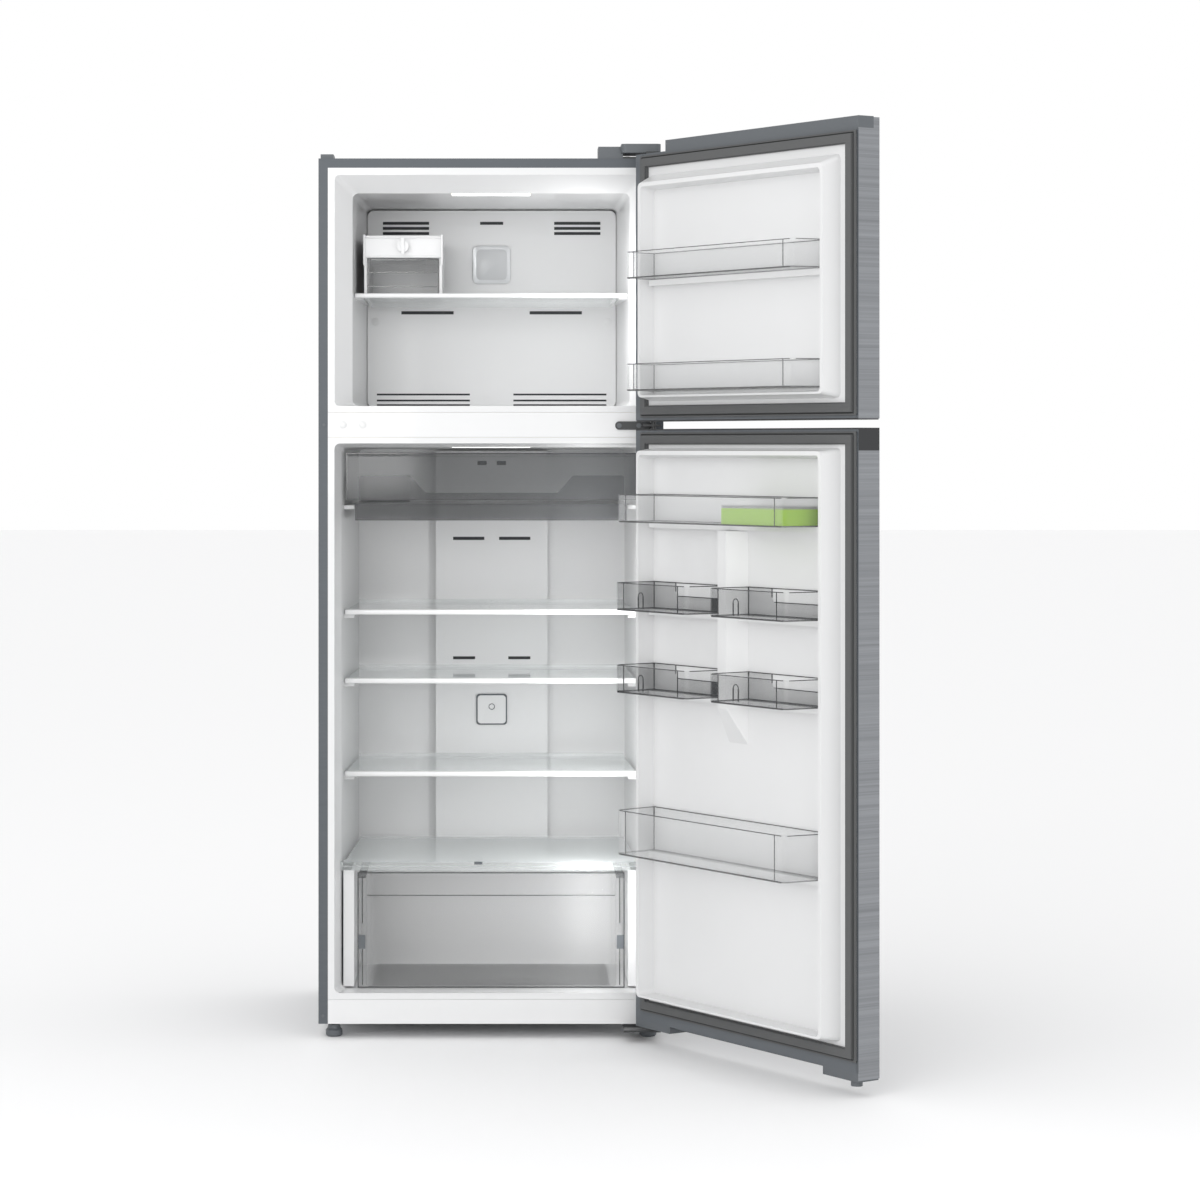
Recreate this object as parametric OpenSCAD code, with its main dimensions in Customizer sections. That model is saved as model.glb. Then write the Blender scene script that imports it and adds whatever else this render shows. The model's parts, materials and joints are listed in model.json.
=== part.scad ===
// Two-door refrigerator with the freezer on top, doors standing open.
// Frame: origin on the floor under the middle of the cabinet's front face,
// +X to the hinge side, +Y towards the back, +Z up.

/* [Cabinet] */
// Width over the side panels
cab_w = 700; // [640:1:840]
// Depth of the cabinet without its doors
cab_d = 600; // [580:1:745]
// Height of the cabinet top above the floor
cab_h = 1786; // [1480:1:2145]
// Height of the cabinet underside above the floor
cab_base = 30; // [25:1:40]
// Thickness of the painted steel sheet
sheet = 1.2; // [0.8:0.1:2]
// Width of the steel flange round the front
flange_w = 19; // [14:1:24]
// Width of the liner's own flange inside the steel one
liner_flange = 13; // [10:1:18]
// Wall of the moulded liners
liner_t = 2.5; // [1.5:0.1:4]
// Height of the beam between the compartments
beam_h = 51; // [40:1:70]
// Insulation between the back panel and the liners
rear_foam = 80; // [64:1:96]

/* [Freezer compartment] */
// Height of the freezer opening
freezer_open_h = 470; // [400:1:560]
// How far the freezer walls step in behind the opening
freezer_step = 35; // [25:1:45]
// Depth over which the freezer walls step in
freezer_lead = 45; // [35:1:60]
// Depth of the evaporator chamber behind its cover
chamber_d = 90; // [84:1:100]
// Height of the freezer shelf above the freezer opening's sill
freezer_shelf_rise = 232; // [200:1:260]
// Width of the ice maker
ice_w = 160; // [130:1:200]
// Height of the ice bin under the ice tray
ice_bin_h = 72; // [60:1:90]
// Height of the ice tray frame
ice_frame_h = 45; // [35:1:60]

/* [Fridge compartment] */
// Height of the sill under the fridge opening
sill_z = 92; // [84:1:110]
// How far the fridge walls step in behind the opening
fridge_step = 12; // [8:1:16]
// Depth over which the fridge walls step in
fridge_lead = 55; // [45:1:70]
// Width of the air duct panel on the back wall
duct_w = 243; // [200:1:290]
// Thickness of the air duct panel
duct_d = 25; // [20:1:32]
// Height of the vegetable drawer
crisper_h = 236; // [190:1:285]
// Depth of the vegetable drawer
crisper_d = 300; // [250:1:312]
// Width of the white rails beside the vegetable drawer
crisper_rail_w = 24; // [20:1:34]
// Height of the drawer cover's front trim
cover_trim_h = 18; // [14:1:24]
// Height of a shelf's front trim
shelf_trim_h = 9.5; // [8:0.5:14]
// Thickness of the shelf glass
glass_t = 4; // [3:0.5:6]
// Height of the chiller box from its flap's top to the tray's underside
chiller_h = 141; // [118:1:170]
// Depth of the chiller tray
chiller_d = 270; // [225:1:324]
// Height of the chiller tray's low front lip
tray_lip_h = 34; // [28:1:40]

/* [Doors] */
// Thickness of each door from skin to liner flange
door_t = 50; // [44:1:60]
// Gap between cabinet and door that the gasket fills
door_gap = 12; // [10:1:15]
// Gap between the two doors
doors_apart = 15; // [13:1:20]
// How far the freezer door rises above the cabinet top
door_rise = 26; // [22:1:32]
// Height of the fridge door's lower edge above the floor
door_foot = 33; // [31:1:36]
// Angle that the doors stand open at
door_open = 123.5; // [100:0.5:130]
// Hinge pin to the door's hinge edge
pin_in = 22; // [20:0.5:26]
// Hinge pin forward of the cabinet front
pin_out = 40; // [38:0.5:44]
// Radius of the hinge pins
pin_r = 5; // [4:0.5:6]
// Width of the magnetic gasket
gasket_w = 24; // [18:1:28]
// Height of the freezer door liner's rim above its flange
freezer_rim = 38; // [30:1:42]
// Height of the fridge door liner's rim above its flange
fridge_rim = 42; // [35:1:44]
// How far the door liners' floor stands in front of the flange
liner_rise = 8; // [5:1:10]
// Height of the black grip cap on the fridge door
grip_h = 42; // [36:1:52]
// Wall of the clear bins
bin_t = 2.4; // [1.8:0.1:3.2]
// Height of the freezer door bins
freezer_bin_h = 54; // [45:1:65]
// Height of the fridge door's upper bins
fridge_bin_h = 55; // [46:1:66]
// Height of the fridge door's bottle bin
bottle_bin_h = 88; // [73:1:106]
// Depth of the freezer door bins from the liner
freezer_bin_d = 80; // [66:1:96]
// Depth of the fridge door bins from the liner
fridge_bin_d = 100; // [83:1:103]

/* [Machine compartment] */
// Height of the compressor space above the cabinet underside
machine_h = 235; // [200:1:250]
// Depth of the compressor space
machine_d = 180; // [160:1:190]
// Radius of the compressor shell
compressor_r = 70; // [60:1:74]
// Radius of the fans
fan_r = 52; // [45:1:54]
// Radius of the levelling feet
foot_r = 17; // [14:1:22]
// Radius of the rear rollers
roller_r = 18; // [15:1:22]

/* [Hidden] */

steel_grey = [0.42, 0.44, 0.46];
dark_grey = [0.25, 0.26, 0.28];
near_black = [0.1, 0.1, 0.11];
white = [0.93, 0.94, 0.94];
clear = [0.8, 0.85, 0.88, 0.4];
smoke = [0.35, 0.36, 0.38, 0.6];
metal = [0.7, 0.72, 0.74];

// clearances
slide_gap = 1.5;
seat_gap = 0.3;
rest_gap = 0.2;
face_gap = 0.4;
run_gap = 0.05;
eps = 0.1;

// levels of the compartments
half_w = cab_w / 2;
freezer_top = cab_h - 32.5;
freezer_sill = freezer_top - freezer_open_h;
beam_top = freezer_sill - 12.5;
beam_low = beam_top - beam_h;
fridge_top = beam_low - 12;
open_half = half_w - flange_w - liner_flange;
flange_half = half_w - flange_w;
flange_low = sill_z - 12.5;

// freezer cavity
freezer_half = open_half - freezer_step;
freezer_back = cab_d - rear_foam;
freezer_floor = freezer_sill + 1;
freezer_ceiling = freezer_top - freezer_step;
wall_draft = 0.036;
cover_y = freezer_back - chamber_d;
cover_half = freezer_half - (cover_y - freezer_lead) * wall_draft - 1;
freezer_shelf_z = freezer_sill + freezer_shelf_rise;
freezer_shelf_y = freezer_lead + 40;

// fridge cavity
fridge_half = open_half - fridge_step;
fridge_back = cab_d - rear_foam - 15;
fridge_floor = sill_z + 2;
fridge_ceiling = fridge_top - 8;
fridge_back_half = fridge_half - (fridge_back - fridge_lead) * wall_draft;
duct_y = fridge_back - duct_d;
shelf_y = 105;
shelf_d = duct_y - 10 - shelf_y;
shelf_half = fridge_half - (shelf_y - fridge_lead) * wall_draft - slide_gap * 2;
crisper_y = 50;
crisper_half = fridge_half - crisper_rail_w - 9;
crisper_z = fridge_floor + 1;
crisper_top = crisper_z + crisper_h;
cover_z = crisper_top + 5;
cover_top = cover_z + cover_trim_h;
cover_y0 = fridge_lead - 13;
chiller_y = shelf_y;
chiller_top = fridge_ceiling - 10;
chiller_z = chiller_top - chiller_h;
chiller_half = shelf_half - 2;
shelf_space = chiller_z - cover_top;
shelf_low_z = cover_top + shelf_space * 0.255;
shelf_mid_z = cover_top + shelf_space * 0.531;
shelf_up_z = cover_top + shelf_space * 0.735;

// machine compartment
machine_y = cab_d - machine_d;
machine_top = cab_base + machine_h;
hump_y = machine_y - 50;
hump_z = machine_top + 50;
fan_shaft_r = 3;
compressor_x = 0.32 * cab_w;
compressor_y = machine_y + 92;
fan_x = 0.1 * cab_w;
rest_z = cab_base + 3;

// doors
pin_x = half_w - pin_in;
door_in = -door_gap;
door_out = -door_gap - door_t;
freezer_door_z = (beam_top + beam_low) / 2 + doors_apart / 2 - 1.5;
fridge_door_top = freezer_door_z - doors_apart;
freezer_door_top = cab_h + door_rise;
notch_w = 100;
notch_z = cab_h + 4;
gasket_hinge = pin_in + 1.5;
gasket_free = 3;
rim_foot = 48.5;
skin_lip = 12;
base_cap_h = 26;
pin_h = 13;
hinge_plate = 4;
bin_end = 74;

function ux(u) = half_w - u;

module block(x0, x1, y0, y1, z0, z1) {
  translate([x0, y0, z0]) cube([x1 - x0, y1 - y0, z1 - z0]);
}

module round_rect(x0, x1, y0, y1, r) {
  translate([x0 + r, y0]) square([x1 - x0 - 2 * r, y1 - y0]);
  translate([x0, y0 + r]) square([x1 - x0, y1 - y0 - 2 * r]);
  for (x = [x0 + r, x1 - r], y = [y0 + r, y1 - r]) translate([x, y]) circle(r, $fn = 32);
}

// rounded prism that runs along Y
module prism_y(x0, x1, z0, z1, y0, y1, r) {
  translate([0, y1, 0]) rotate([90, 0, 0]) linear_extrude(y1 - y0) round_rect(x0, x1, z0, z1, r);
}

// rounded prism that runs along Z
module prism_z(x0, x1, y0, y1, z0, z1, r) {
  translate([0, 0, z0]) linear_extrude(z1 - z0) round_rect(x0, x1, y0, y1, r);
}

// tapered cavity from one rounded outline to another, along Y
module funnel(half0, low0, top0, y0, half1, low1, top1, y1, r) {
  hull() {
    prism_y(-half0, half0, low0, top0, y0, y0 + eps, r);
    prism_y(-half1, half1, low1, top1, y1 - eps, y1, r);
  }
}

module rod_x(x0, x1, y, z, r) {
  translate([x0, y, z]) rotate([0, 90, 0]) cylinder(h = x1 - x0, r = r, $fn = 48);
}

module rod_y(x, y0, y1, z, r) {
  translate([x, y1, z]) rotate([90, 0, 0]) cylinder(h = y1 - y0, r = r, $fn = 48);
}

module rod_z(x, y, z0, z1, r) {
  translate([x, y, z0]) cylinder(h = z1 - z0, r = r, $fn = 48);
}

module on_open_door() {
  translate([pin_x, -pin_out, 0]) rotate([0, 0, door_open]) translate([-pin_x, pin_out, 0]) children();
}

// ---- cabinet ----

module cabinet_shell() {
  color(steel_grey) difference() {
    block(-half_w, half_w, 0, cab_d, cab_base, cab_h);
    block(-half_w + sheet, half_w - sheet, sheet, cab_d + 1, cab_base - 1, cab_h - sheet);
    block(-flange_half, flange_half, -1, sheet + 1, cab_base - 1, cab_h - flange_w);
  }
}

module back_panel() {
  color(metal) block(-half_w + sheet, half_w - sheet, cab_d - sheet, cab_d, machine_top, cab_h - sheet);
}

module freezer_cavity(grow) {
  funnel(open_half + grow, freezer_sill - grow, freezer_top + grow, -1,
    freezer_half + grow, freezer_floor - grow, freezer_ceiling + grow, freezer_lead, 10 + grow);
  funnel(freezer_half + grow, freezer_floor - grow, freezer_ceiling + grow, freezer_lead - eps,
    freezer_half - (freezer_back - freezer_lead) * wall_draft + grow, freezer_floor - grow,
    freezer_ceiling - 7 + grow, freezer_back + grow, 12 + grow);
}

module fridge_cavity(grow) {
  funnel(open_half + grow, sill_z - grow, fridge_top + grow, -1,
    fridge_half + grow, fridge_floor - grow, fridge_ceiling + grow, fridge_lead, 12 + grow);
  difference() {
    funnel(fridge_half + grow, fridge_floor - grow, fridge_ceiling + grow, fridge_lead - eps,
      fridge_back_half + grow, fridge_floor - grow, fridge_ceiling - 4 + grow, fridge_back + grow, 12 + grow);
    block(-half_w, half_w, hump_y + grow, cab_d, 0, hump_z - grow);
  }
}

module cabinet_foam() {
  color([0.93, 0.87, 0.7]) difference() {
    block(-half_w + sheet, half_w - sheet, liner_t, cab_d - sheet, cab_base + 22, cab_h - sheet);
    freezer_cavity(liner_t);
    fridge_cavity(liner_t);
    block(-half_w, half_w, machine_y, cab_d, 0, machine_top);
    block(-flange_half, flange_half, 0, 14, beam_low, beam_top);
    block(-flange_half, flange_half, 0, 14, 0, flange_low);
    block(-84, 84, freezer_lead, freezer_lead + 42, freezer_ceiling, freezer_ceiling + 14);
    block(-84, 84, fridge_lead, fridge_lead + 42, fridge_ceiling, fridge_ceiling + 6.5);
  }
}

module freezer_liner() {
  color(white) difference() {
    union() {
      freezer_cavity(liner_t);
      block(-flange_half, flange_half, 0, liner_t, beam_top, cab_h - flange_w);
    }
    freezer_cavity(0);
    block(-half_w, half_w, -10, 0, 0, cab_h);
    block(-82, 82, freezer_lead + 1, freezer_lead + 40, freezer_ceiling - 5, freezer_ceiling + 12);
  }
  color(white) wall_ledges(cover_half - 5, freezer_half, freezer_lead, freezer_shelf_y + 24, cover_y - 46,
    freezer_shelf_z - 11, freezer_shelf_z - glass_t - rest_gap);
}

// sloping ledges on both side walls of a compartment
module wall_ledges(x_in, half, lead, y0, y1, z0, z1) {
  translate([0, 0, z0]) linear_extrude(z1 - z0) for (s = [-1, 1])
    polygon([[s * x_in, y0], [s * (half - (y0 - lead) * wall_draft + 1), y0],
      [s * (half - (y1 - lead) * wall_draft + 1), y1], [s * x_in, y1]]);
}

module fridge_liner() {
  color(white) difference() {
    union() {
      fridge_cavity(liner_t);
      block(-flange_half, flange_half, 0, liner_t, flange_low, beam_low);
    }
    fridge_cavity(0);
    block(-half_w, half_w, -10, 0, 0, cab_h);
    block(-82, 82, fridge_lead + 1, fridge_lead + 40, fridge_ceiling - 5, fridge_ceiling + 12);
  }
  color(white) for (z = [shelf_up_z - shelf_trim_h, shelf_mid_z - shelf_trim_h, shelf_low_z - shelf_trim_h, chiller_z + tray_lip_h - 3])
    wall_ledges(fridge_back_half - 7, fridge_half, fridge_lead, shelf_y + 20, duct_y - 20, z - 8, z - rest_gap);
}

module front_rails() {
  color(white) {
    block(-flange_half, flange_half, 0, 14, beam_low + face_gap, beam_top - face_gap);
    block(-flange_half, flange_half, 0, 14, cab_base, flange_low - face_gap);
  }
}

roller_x = half_w - 42;
roller_y = cab_d - 40;
roller_half = 11;
axle_r = 3;
stem_r = 4;
foot_x = half_w - 30;
foot_y = 34;

module base_pan() {
  color(metal) difference() {
    union() {
      block(-half_w + sheet, half_w - sheet, 14, cab_d - 2, cab_base, rest_z);
      for (s = [-1, 1], t = [-1, 1]) block(s * roller_x + t * 14 - 1.5, s * roller_x + t * 14 + 1.5,
        roller_y - 10, roller_y + 10, roller_r - 8, rest_z);
      block(fan_x - 70, fan_x - 40, machine_y + 85, machine_y + 105, rest_z - eps, rest_z + 80);
    }
    for (s = [-1, 1]) {
      block(s * roller_x - 12.5, s * roller_x + 12.5, roller_y - roller_r - 4, roller_y + roller_r + 4, 0, 100);
      rod_x(s * roller_x - 20, s * roller_x + 20, roller_y, roller_r, axle_r + run_gap);
      rod_z(s * foot_x, foot_y, 0, 100, stem_r + run_gap);
    }
    rod_x(fan_x - 80, fan_x, machine_y + 95, rest_z + 66, fan_shaft_r + run_gap);
  }
}

// ---- freezer fittings ----

module slots(x0, x1, z_list, y0, y1, h) {
  for (z = z_list) block(x0, x1, y0, y1, z - h, z);
}

module evaporator_cover() {
  cover_top_z = freezer_ceiling - 8;
  color(white) difference() {
    prism_y(-cover_half, cover_half, freezer_floor + 1, cover_top_z, cover_y, cover_y + 14, 14);
    block(-cover_half + 3, cover_half - 3, cover_y + 3, cover_y + 20, freezer_floor + 4, cover_top_z - 3);
    for (s = [-1, 1]) {
      slots(min(s * 135, s * 235), max(s * 135, s * 235), [cover_top_z - 24, cover_top_z - 35, cover_top_z - 46],
        cover_y - 1, cover_y + 5, 6.5);
      slots(min(s * 82, s * 195), max(s * 82, s * 195), [freezer_shelf_z - 22], cover_y - 1, cover_y + 5, 7);
      slots(min(s * 47, s * 248), max(s * 47, s * 248), [freezer_floor + 31, freezer_floor + 18, freezer_floor + 8],
        cover_y - 1, cover_y + 5, 4);
    }
    slots(-25, 25, [cover_top_z - 24], cover_y - 1, cover_y + 5, 6.5);
    block(-42, 42, cover_y - 1, cover_y + 1.2, cover_top_z - 160, cover_top_z - 74);
  }
  color(metal) prism_y(-41, 41, cover_top_z - 159, cover_top_z - 75, cover_y - 1.5, cover_y + 1.2, 14);
}

module evaporator_coil() {
  y0 = cover_y + 42;
  z0 = freezer_floor + 30;
  fins = 22;
  pitch = (2 * cover_half - 130) / (fins - 1);
  color(metal) {
    for (i = [0 : fins - 1]) block(-cover_half + 65 + i * pitch, -cover_half + 66 + i * pitch,
      y0, y0 + 44, z0, z0 + 150);
    for (k = [0 : 4]) rod_x(-cover_half + 60, cover_half - 60, y0 + (k % 2 == 0 ? 12 : 32), z0 + 15 + k * 30, 4);
    rod_x(-cover_half + 60, cover_half - 60, y0 + 22, z0 - 8, 3.5);
  }
}

module blade_ring(r, hub_r, depth) {
  cylinder(h = depth, r = hub_r, $fn = 48);
  for (a = [0 : 60 : 300]) rotate([0, 0, a]) translate([hub_r - 1, -1, 1.5])
    rotate([24, 0, 0]) cube([r - hub_r, r * 0.55, 2]);
}

module evaporator_fan_frame() {
  z = freezer_ceiling - 78;
  y = cover_y + 36;
  color(white) difference() {
    prism_y(-fan_r - 12, fan_r + 12, z - fan_r - 12, z + fan_r + 12, y - 18, y + 32, 8);
    rod_y(0, y - 20, y + 16, z, fan_r + 5);
    rod_y(0, y, y + 33, z, fan_shaft_r + run_gap);
    for (k = [-1, 1]) block(k * 38 - 12, k * 38 + 12, y - 20, y + 40, z - 30, z + 30);
  }
}

module evaporator_fan() {
  z = freezer_ceiling - 78;
  y = cover_y + 36;
  color(dark_grey) {
    translate([0, y + 12, z]) rotate([90, 0, 0]) blade_ring(fan_r, 16, 22);
    rod_y(0, y + 11, y + 28, z, fan_shaft_r);
  }
}

module interior_lamps() {
  color([1, 1, 0.97]) {
    block(-80, 80, freezer_lead + 2, freezer_lead + 38, freezer_ceiling - 2.5, freezer_ceiling + 6);
    block(-80, 80, fridge_lead + 2, fridge_lead + 38, fridge_ceiling - 1, fridge_ceiling + 6);
  }
}

module freezer_shelf() {
  half = freezer_half - slide_gap * 2;
  back_half = cover_half - slide_gap;
  bar_x = back_half - 12;
  z = freezer_shelf_z;
  y1 = cover_y - 30;
  color(clear) translate([0, 0, z - glass_t]) linear_extrude(glass_t)
    polygon([[-half, freezer_shelf_y + 4], [half, freezer_shelf_y + 4], [back_half, y1 - 10], [-back_half, y1 - 10]]);
  color(white) {
    block(-half, half, freezer_shelf_y, freezer_shelf_y + 12, z - 8, z);
    block(-bar_x - 4, bar_x + 4, y1 - 12, y1, z - 16, z);
    for (s = [-1, 1]) block(s * bar_x - 4, s * bar_x + 4, freezer_shelf_y + 4, y1, z - 12, z - 3);
  }
}

ice_x0 = -freezer_half + 21;
ice_x1 = ice_x0 + ice_w;
ice_y0 = 120;
ice_y1 = cover_y - 40;
ice_z = freezer_shelf_z + 0.2;
tray_axis_z = ice_z + ice_bin_h + 4 + ice_frame_h / 2;

module ice_maker_frame() {
  z0 = ice_z;
  z1 = ice_z + ice_bin_h + 4;
  z2 = z1 + ice_frame_h;
  color(white) difference() {
    block(ice_x0, ice_x1, ice_y0, ice_y1, z0, z2);
    block(ice_x0 + 5, ice_x1 - 5, ice_y0 - 1, ice_y1 - 4, z0 - 1, z1);
    block(ice_x0 + 5, ice_x1 - 5, ice_y0 + 12, ice_y1 - 12, z1 - 1, z2 + 1);
    rod_y((ice_x0 + ice_x1) / 2, ice_y0 - 1, ice_y1 + 1, tray_axis_z, fan_shaft_r + 1 + run_gap);
  }
}

module ice_tray() {
  xm = (ice_x0 + ice_x1) / 2;
  tray_half = min(ice_w / 2 - 34, 46);
  z = tray_axis_z;
  cells = 5;
  pitch = (ice_y1 - ice_y0 - 60) / cells;
  color(white) {
    difference() {
      block(xm - tray_half, xm + tray_half, ice_y0 + 22, ice_y1 - 22, z - 13, z + 9);
      for (k = [0 : cells - 1], s = [-1, 1])
        block(xm + s * tray_half / 2 - tray_half / 2 + 2, xm + s * tray_half / 2 + tray_half / 2 - 2,
          ice_y0 + 32 + k * pitch, ice_y0 + 28 + (k + 1) * pitch, z - 10, z + 10);
    }
    rod_y(xm, ice_y0 - 12, ice_y0 + 23, z, fan_shaft_r + 1);
    rod_y(xm, ice_y1 - 23, ice_y1 - 2, z, fan_shaft_r + 1);
    rod_y(xm, ice_y0 - 18, ice_y0 - 4, z, 12);
    block(xm - 3, xm + 3, ice_y0 - 22, ice_y0 - 17.9, z - 16, z + 16);
  }
}

module ice_bin() {
  w0 = ice_x0 + 5 + slide_gap;
  w1 = ice_x1 - 5 - slide_gap;
  y1 = ice_y1 - 4 - slide_gap;
  z1 = ice_z + ice_bin_h;
  color(clear) difference() {
    block(w0, w1, ice_y0 - 4, y1, ice_z + 0.4, z1);
    block(w0 + 2.5, w1 - 2.5, ice_y0 - 1.5, y1 - 2.5, ice_z + 3, z1 + 1);
  }
}

// ---- fridge fittings ----

module duct_panel() {
  z0 = hump_z + 30;
  z1 = fridge_ceiling - 8;
  h = duct_w / 2;
  y1 = fridge_back - 1;
  color(white) difference() {
    block(-h, h, duct_y, y1, z0, z1);
    block(-h + 3, h - 3, duct_y + 3, y1 + 1, z0 + 3, z1 - 3);
    for (s = [-1, 1]) {
      slots(s * 21 - 10, s * 21 + 10, [z1 - 22], duct_y - 1, duct_y + 5, 9);
      slots(s * 50 - 34, s * 50 + 34, [chiller_z - 44], duct_y - 1, duct_y + 5, 7);
      slots(s * 60 - 24, s * 60 + 24, [shelf_mid_z + 22, shelf_mid_z - 22], duct_y - 1, duct_y + 5, 6.5);
    }
  }
  color(metal) prism_y(-33, 33, shelf_mid_z - 128, shelf_mid_z - 61, duct_y - 1.5, duct_y + 1, 8);
}

module glass_shelf(z) {
  back_half = fridge_back_half - slide_gap * 2;
  y1 = shelf_y + shelf_d;
  color(clear) translate([0, 0, z - glass_t - 0.6]) linear_extrude(glass_t)
    polygon([[-shelf_half + 2, shelf_y + 4], [shelf_half - 2, shelf_y + 4],
      [back_half, y1 - 4], [-back_half, y1 - 4]]);
  color(white) {
    block(-shelf_half, shelf_half, shelf_y, shelf_y + 14, z - shelf_trim_h, z);
    block(-back_half, back_half, y1 - 12, y1, z - shelf_trim_h, z + 5);
  }
}

module shelf_upper() {
  glass_shelf(shelf_up_z);
}

module shelf_middle() {
  glass_shelf(shelf_mid_z);
}

module shelf_lower() {
  glass_shelf(shelf_low_z);
}

module crisper_rails() {
  color(white) for (s = [-1, 1]) {
    x0 = crisper_half + 7;
    x1 = fridge_back_half - 4;
    block(min(s * x0, s * x1), max(s * x0, s * x1), crisper_y + 8, hump_y - 4, crisper_z + 2, cover_z - 1);
    xf = fridge_half - 4;
    block(min(s * x0, s * xf), max(s * x0, s * xf), crisper_y + 6, crisper_y + 8.1, crisper_z + 2, cover_z - 1);
  }
}

slot_x = 34;
module crisper_cover() {
  half = fridge_half + 1;
  y1 = duct_y - 8;
  back_half = fridge_back_half - slide_gap * 2;
  z = cover_top;
  color(white) difference() {
    union() {
      block(-half, half, cover_y0, cover_y0 + 5, cover_z, z);
      block(-half + 5, half - 5, cover_y0 + 4, cover_y0 + 30, z - 12, z);
      block(-back_half, back_half, y1 - 12, y1, z - 12, z);
    }
    block(-slot_x - 1, slot_x + 1, cover_y0 - 1, cover_y0 + 7, z - 6.5, z + 1);
  }
  color(clear) translate([0, 0, z - glass_t - 2]) linear_extrude(glass_t)
    polygon([[-half + 8, cover_y0 + 26], [half - 8, cover_y0 + 26], [back_half - 1, y1 - 8], [-back_half + 1, y1 - 8]]);
}

module humidity_slider() {
  color(dark_grey) block(-slot_x, -slot_x + 16, cover_y0 + 0.5, cover_y0 + 6.5, cover_top - 6, cover_top - 0.5);
}

module crisper_drawer() {
  w = crisper_half;
  y1 = crisper_y + crisper_d;
  color(clear) difference() {
    union() {
      block(-w, w, crisper_y, crisper_y + 3, crisper_z, crisper_top);
      block(-w + 16, w - 16, crisper_y + 2, y1, crisper_z, crisper_top - 6);
      for (s = [-1, 1]) block(min(s * (w - 17), s * w), max(s * (w - 17), s * w), crisper_y + 2.9, y1 - 16,
        crisper_top - 12, crisper_top - 6);
    }
    block(-w + 19, w - 19, crisper_y + 3, y1 - 3, crisper_z + 3, crisper_top + 5);
  }
  color(dark_grey) for (s = [-1, 1])
    block(min(s * (w - 16), s * (w - 1)), max(s * (w - 16), s * (w - 1)), crisper_y - 2, crisper_y + 0.1,
      crisper_z + 80, crisper_z + 108);
}

module chiller_tray() {
  w = fridge_back_half - 9.5;
  y0 = chiller_y + 6;
  y1 = y0 + chiller_d;
  lip_z = chiller_z + tray_lip_h;
  wall_z = chiller_z + tray_lip_h + 56;
  color(smoke) difference() {
    union() {
      block(-w, w, y0, y1, chiller_z, lip_z);
      block(-w - 7, w + 7, y0 + 40, y1, lip_z - 3, lip_z);
      block(-w, w, y1 - 110, y1, lip_z - 1, wall_z);
    }
    block(-w + 3, w - 3, y0 + 3, y1 - 3, chiller_z + 3, wall_z + 1);
    translate([0, y1 + 1, 0]) rotate([90, 0, 0]) linear_extrude(8)
      polygon([[-175, wall_z + 1], [-142, wall_z - 37], [142, wall_z - 37], [175, wall_z + 1]]);
  }
}

flap_z = chiller_top - 4;
module chiller_flap() {
  w = chiller_half - 1;
  color(smoke) {
    block(-w, w, chiller_y, chiller_y + 3, chiller_z + tray_lip_h + 8, chiller_top - 8);
    rod_x(-w, w, chiller_y + 4, flap_z - 2, 4);
  }
}

// ---- machine compartment ----

module compressor() {
  color(near_black) {
    rod_z(compressor_x - 60, compressor_y, rest_z + 14, rest_z + 120, compressor_r);
    translate([compressor_x - 60, compressor_y, rest_z + 119.5])
      cylinder(h = 26, r1 = compressor_r, r2 = compressor_r - 30, $fn = 48);
    block(compressor_x - 60 + compressor_r - 6, compressor_x - 60 + compressor_r + 34, compressor_y - 30, compressor_y + 30,
      rest_z + 50, rest_z + 110);
    block(compressor_x - 60 - compressor_r - 8, compressor_x - 60 + compressor_r + 8, compressor_y - 62, compressor_y + 62,
      rest_z + 11, rest_z + 14.1);
  }
  color([0.2, 0.2, 0.2]) for (s = [-1, 1], t = [-1, 1])
    rod_z(compressor_x - 60 + s * (compressor_r - 4), compressor_y + t * 52, rest_z, rest_z + 11.1, 9);
}

module condenser_coil() {
  rows = 6;
  x0 = -half_w + 60;
  x1 = fan_x - 90;
  color(near_black) {
    for (k = [0 : rows - 1], t = [0 : 1])
      rod_x(x0, x1, machine_y + 70 + t * 55, rest_z + 20 + k * 22, 3);
    for (k = [0 : rows - 1], s = [x0, x1])
      block(s - 3, s + 3, machine_y + 70, machine_y + 125, rest_z + 17 + k * 22, rest_z + 23 + k * 22);
    for (s = [x0, x1]) block(s - 1.5, s + 1.5, machine_y + 80, machine_y + 100, rest_z, rest_z + 133);
  }
}

module condenser_fan() {
  color(dark_grey) {
    translate([fan_x - 36, machine_y + 95, rest_z + 66]) rotate([0, 90, 0]) blade_ring(fan_r, 15, 22);
    rod_x(fan_x - 66, fan_x - 35, machine_y + 95, rest_z + 66, fan_shaft_r);
  }
}

module drain_pan() {
  x = compressor_x - 60;
  z = rest_z + 146;
  color(white) difference() {
    prism_z(x - 90, x + 90, compressor_y - 58, compressor_y + 58, z, z + 26, 10);
    prism_z(x - 87, x + 87, compressor_y - 55, compressor_y + 55, z + 2.5, z + 30, 8);
  }
}

module machine_cover() {
  color(metal) difference() {
    block(-half_w + sheet, half_w - sheet, cab_d - sheet, cab_d, cab_base + 6, machine_top - face_gap);
    for (k = [0 : 11], s = [-1, 1]) block(s * 190 - 110 + k * 20 - 4, s * 190 - 110 + k * 20 + 4,
      cab_d - 5, cab_d + 1, cab_base + 40, cab_base + 130);
    rod_y(0, cab_d - 5, cab_d + 1, machine_top - 30, 9);
  }
}

module cord_gland() {
  color(near_black) difference() {
    union() {
      rod_y(0, cab_d - 8, cab_d + 4, machine_top - 30, 8.9);
      rod_y(0, cab_d, cab_d + 4, machine_top - 30, 13);
    }
    rod_y(0, cab_d - 9, cab_d + 5, machine_top - 30, 4);
  }
}

// ---- hinges and feet ----

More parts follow.
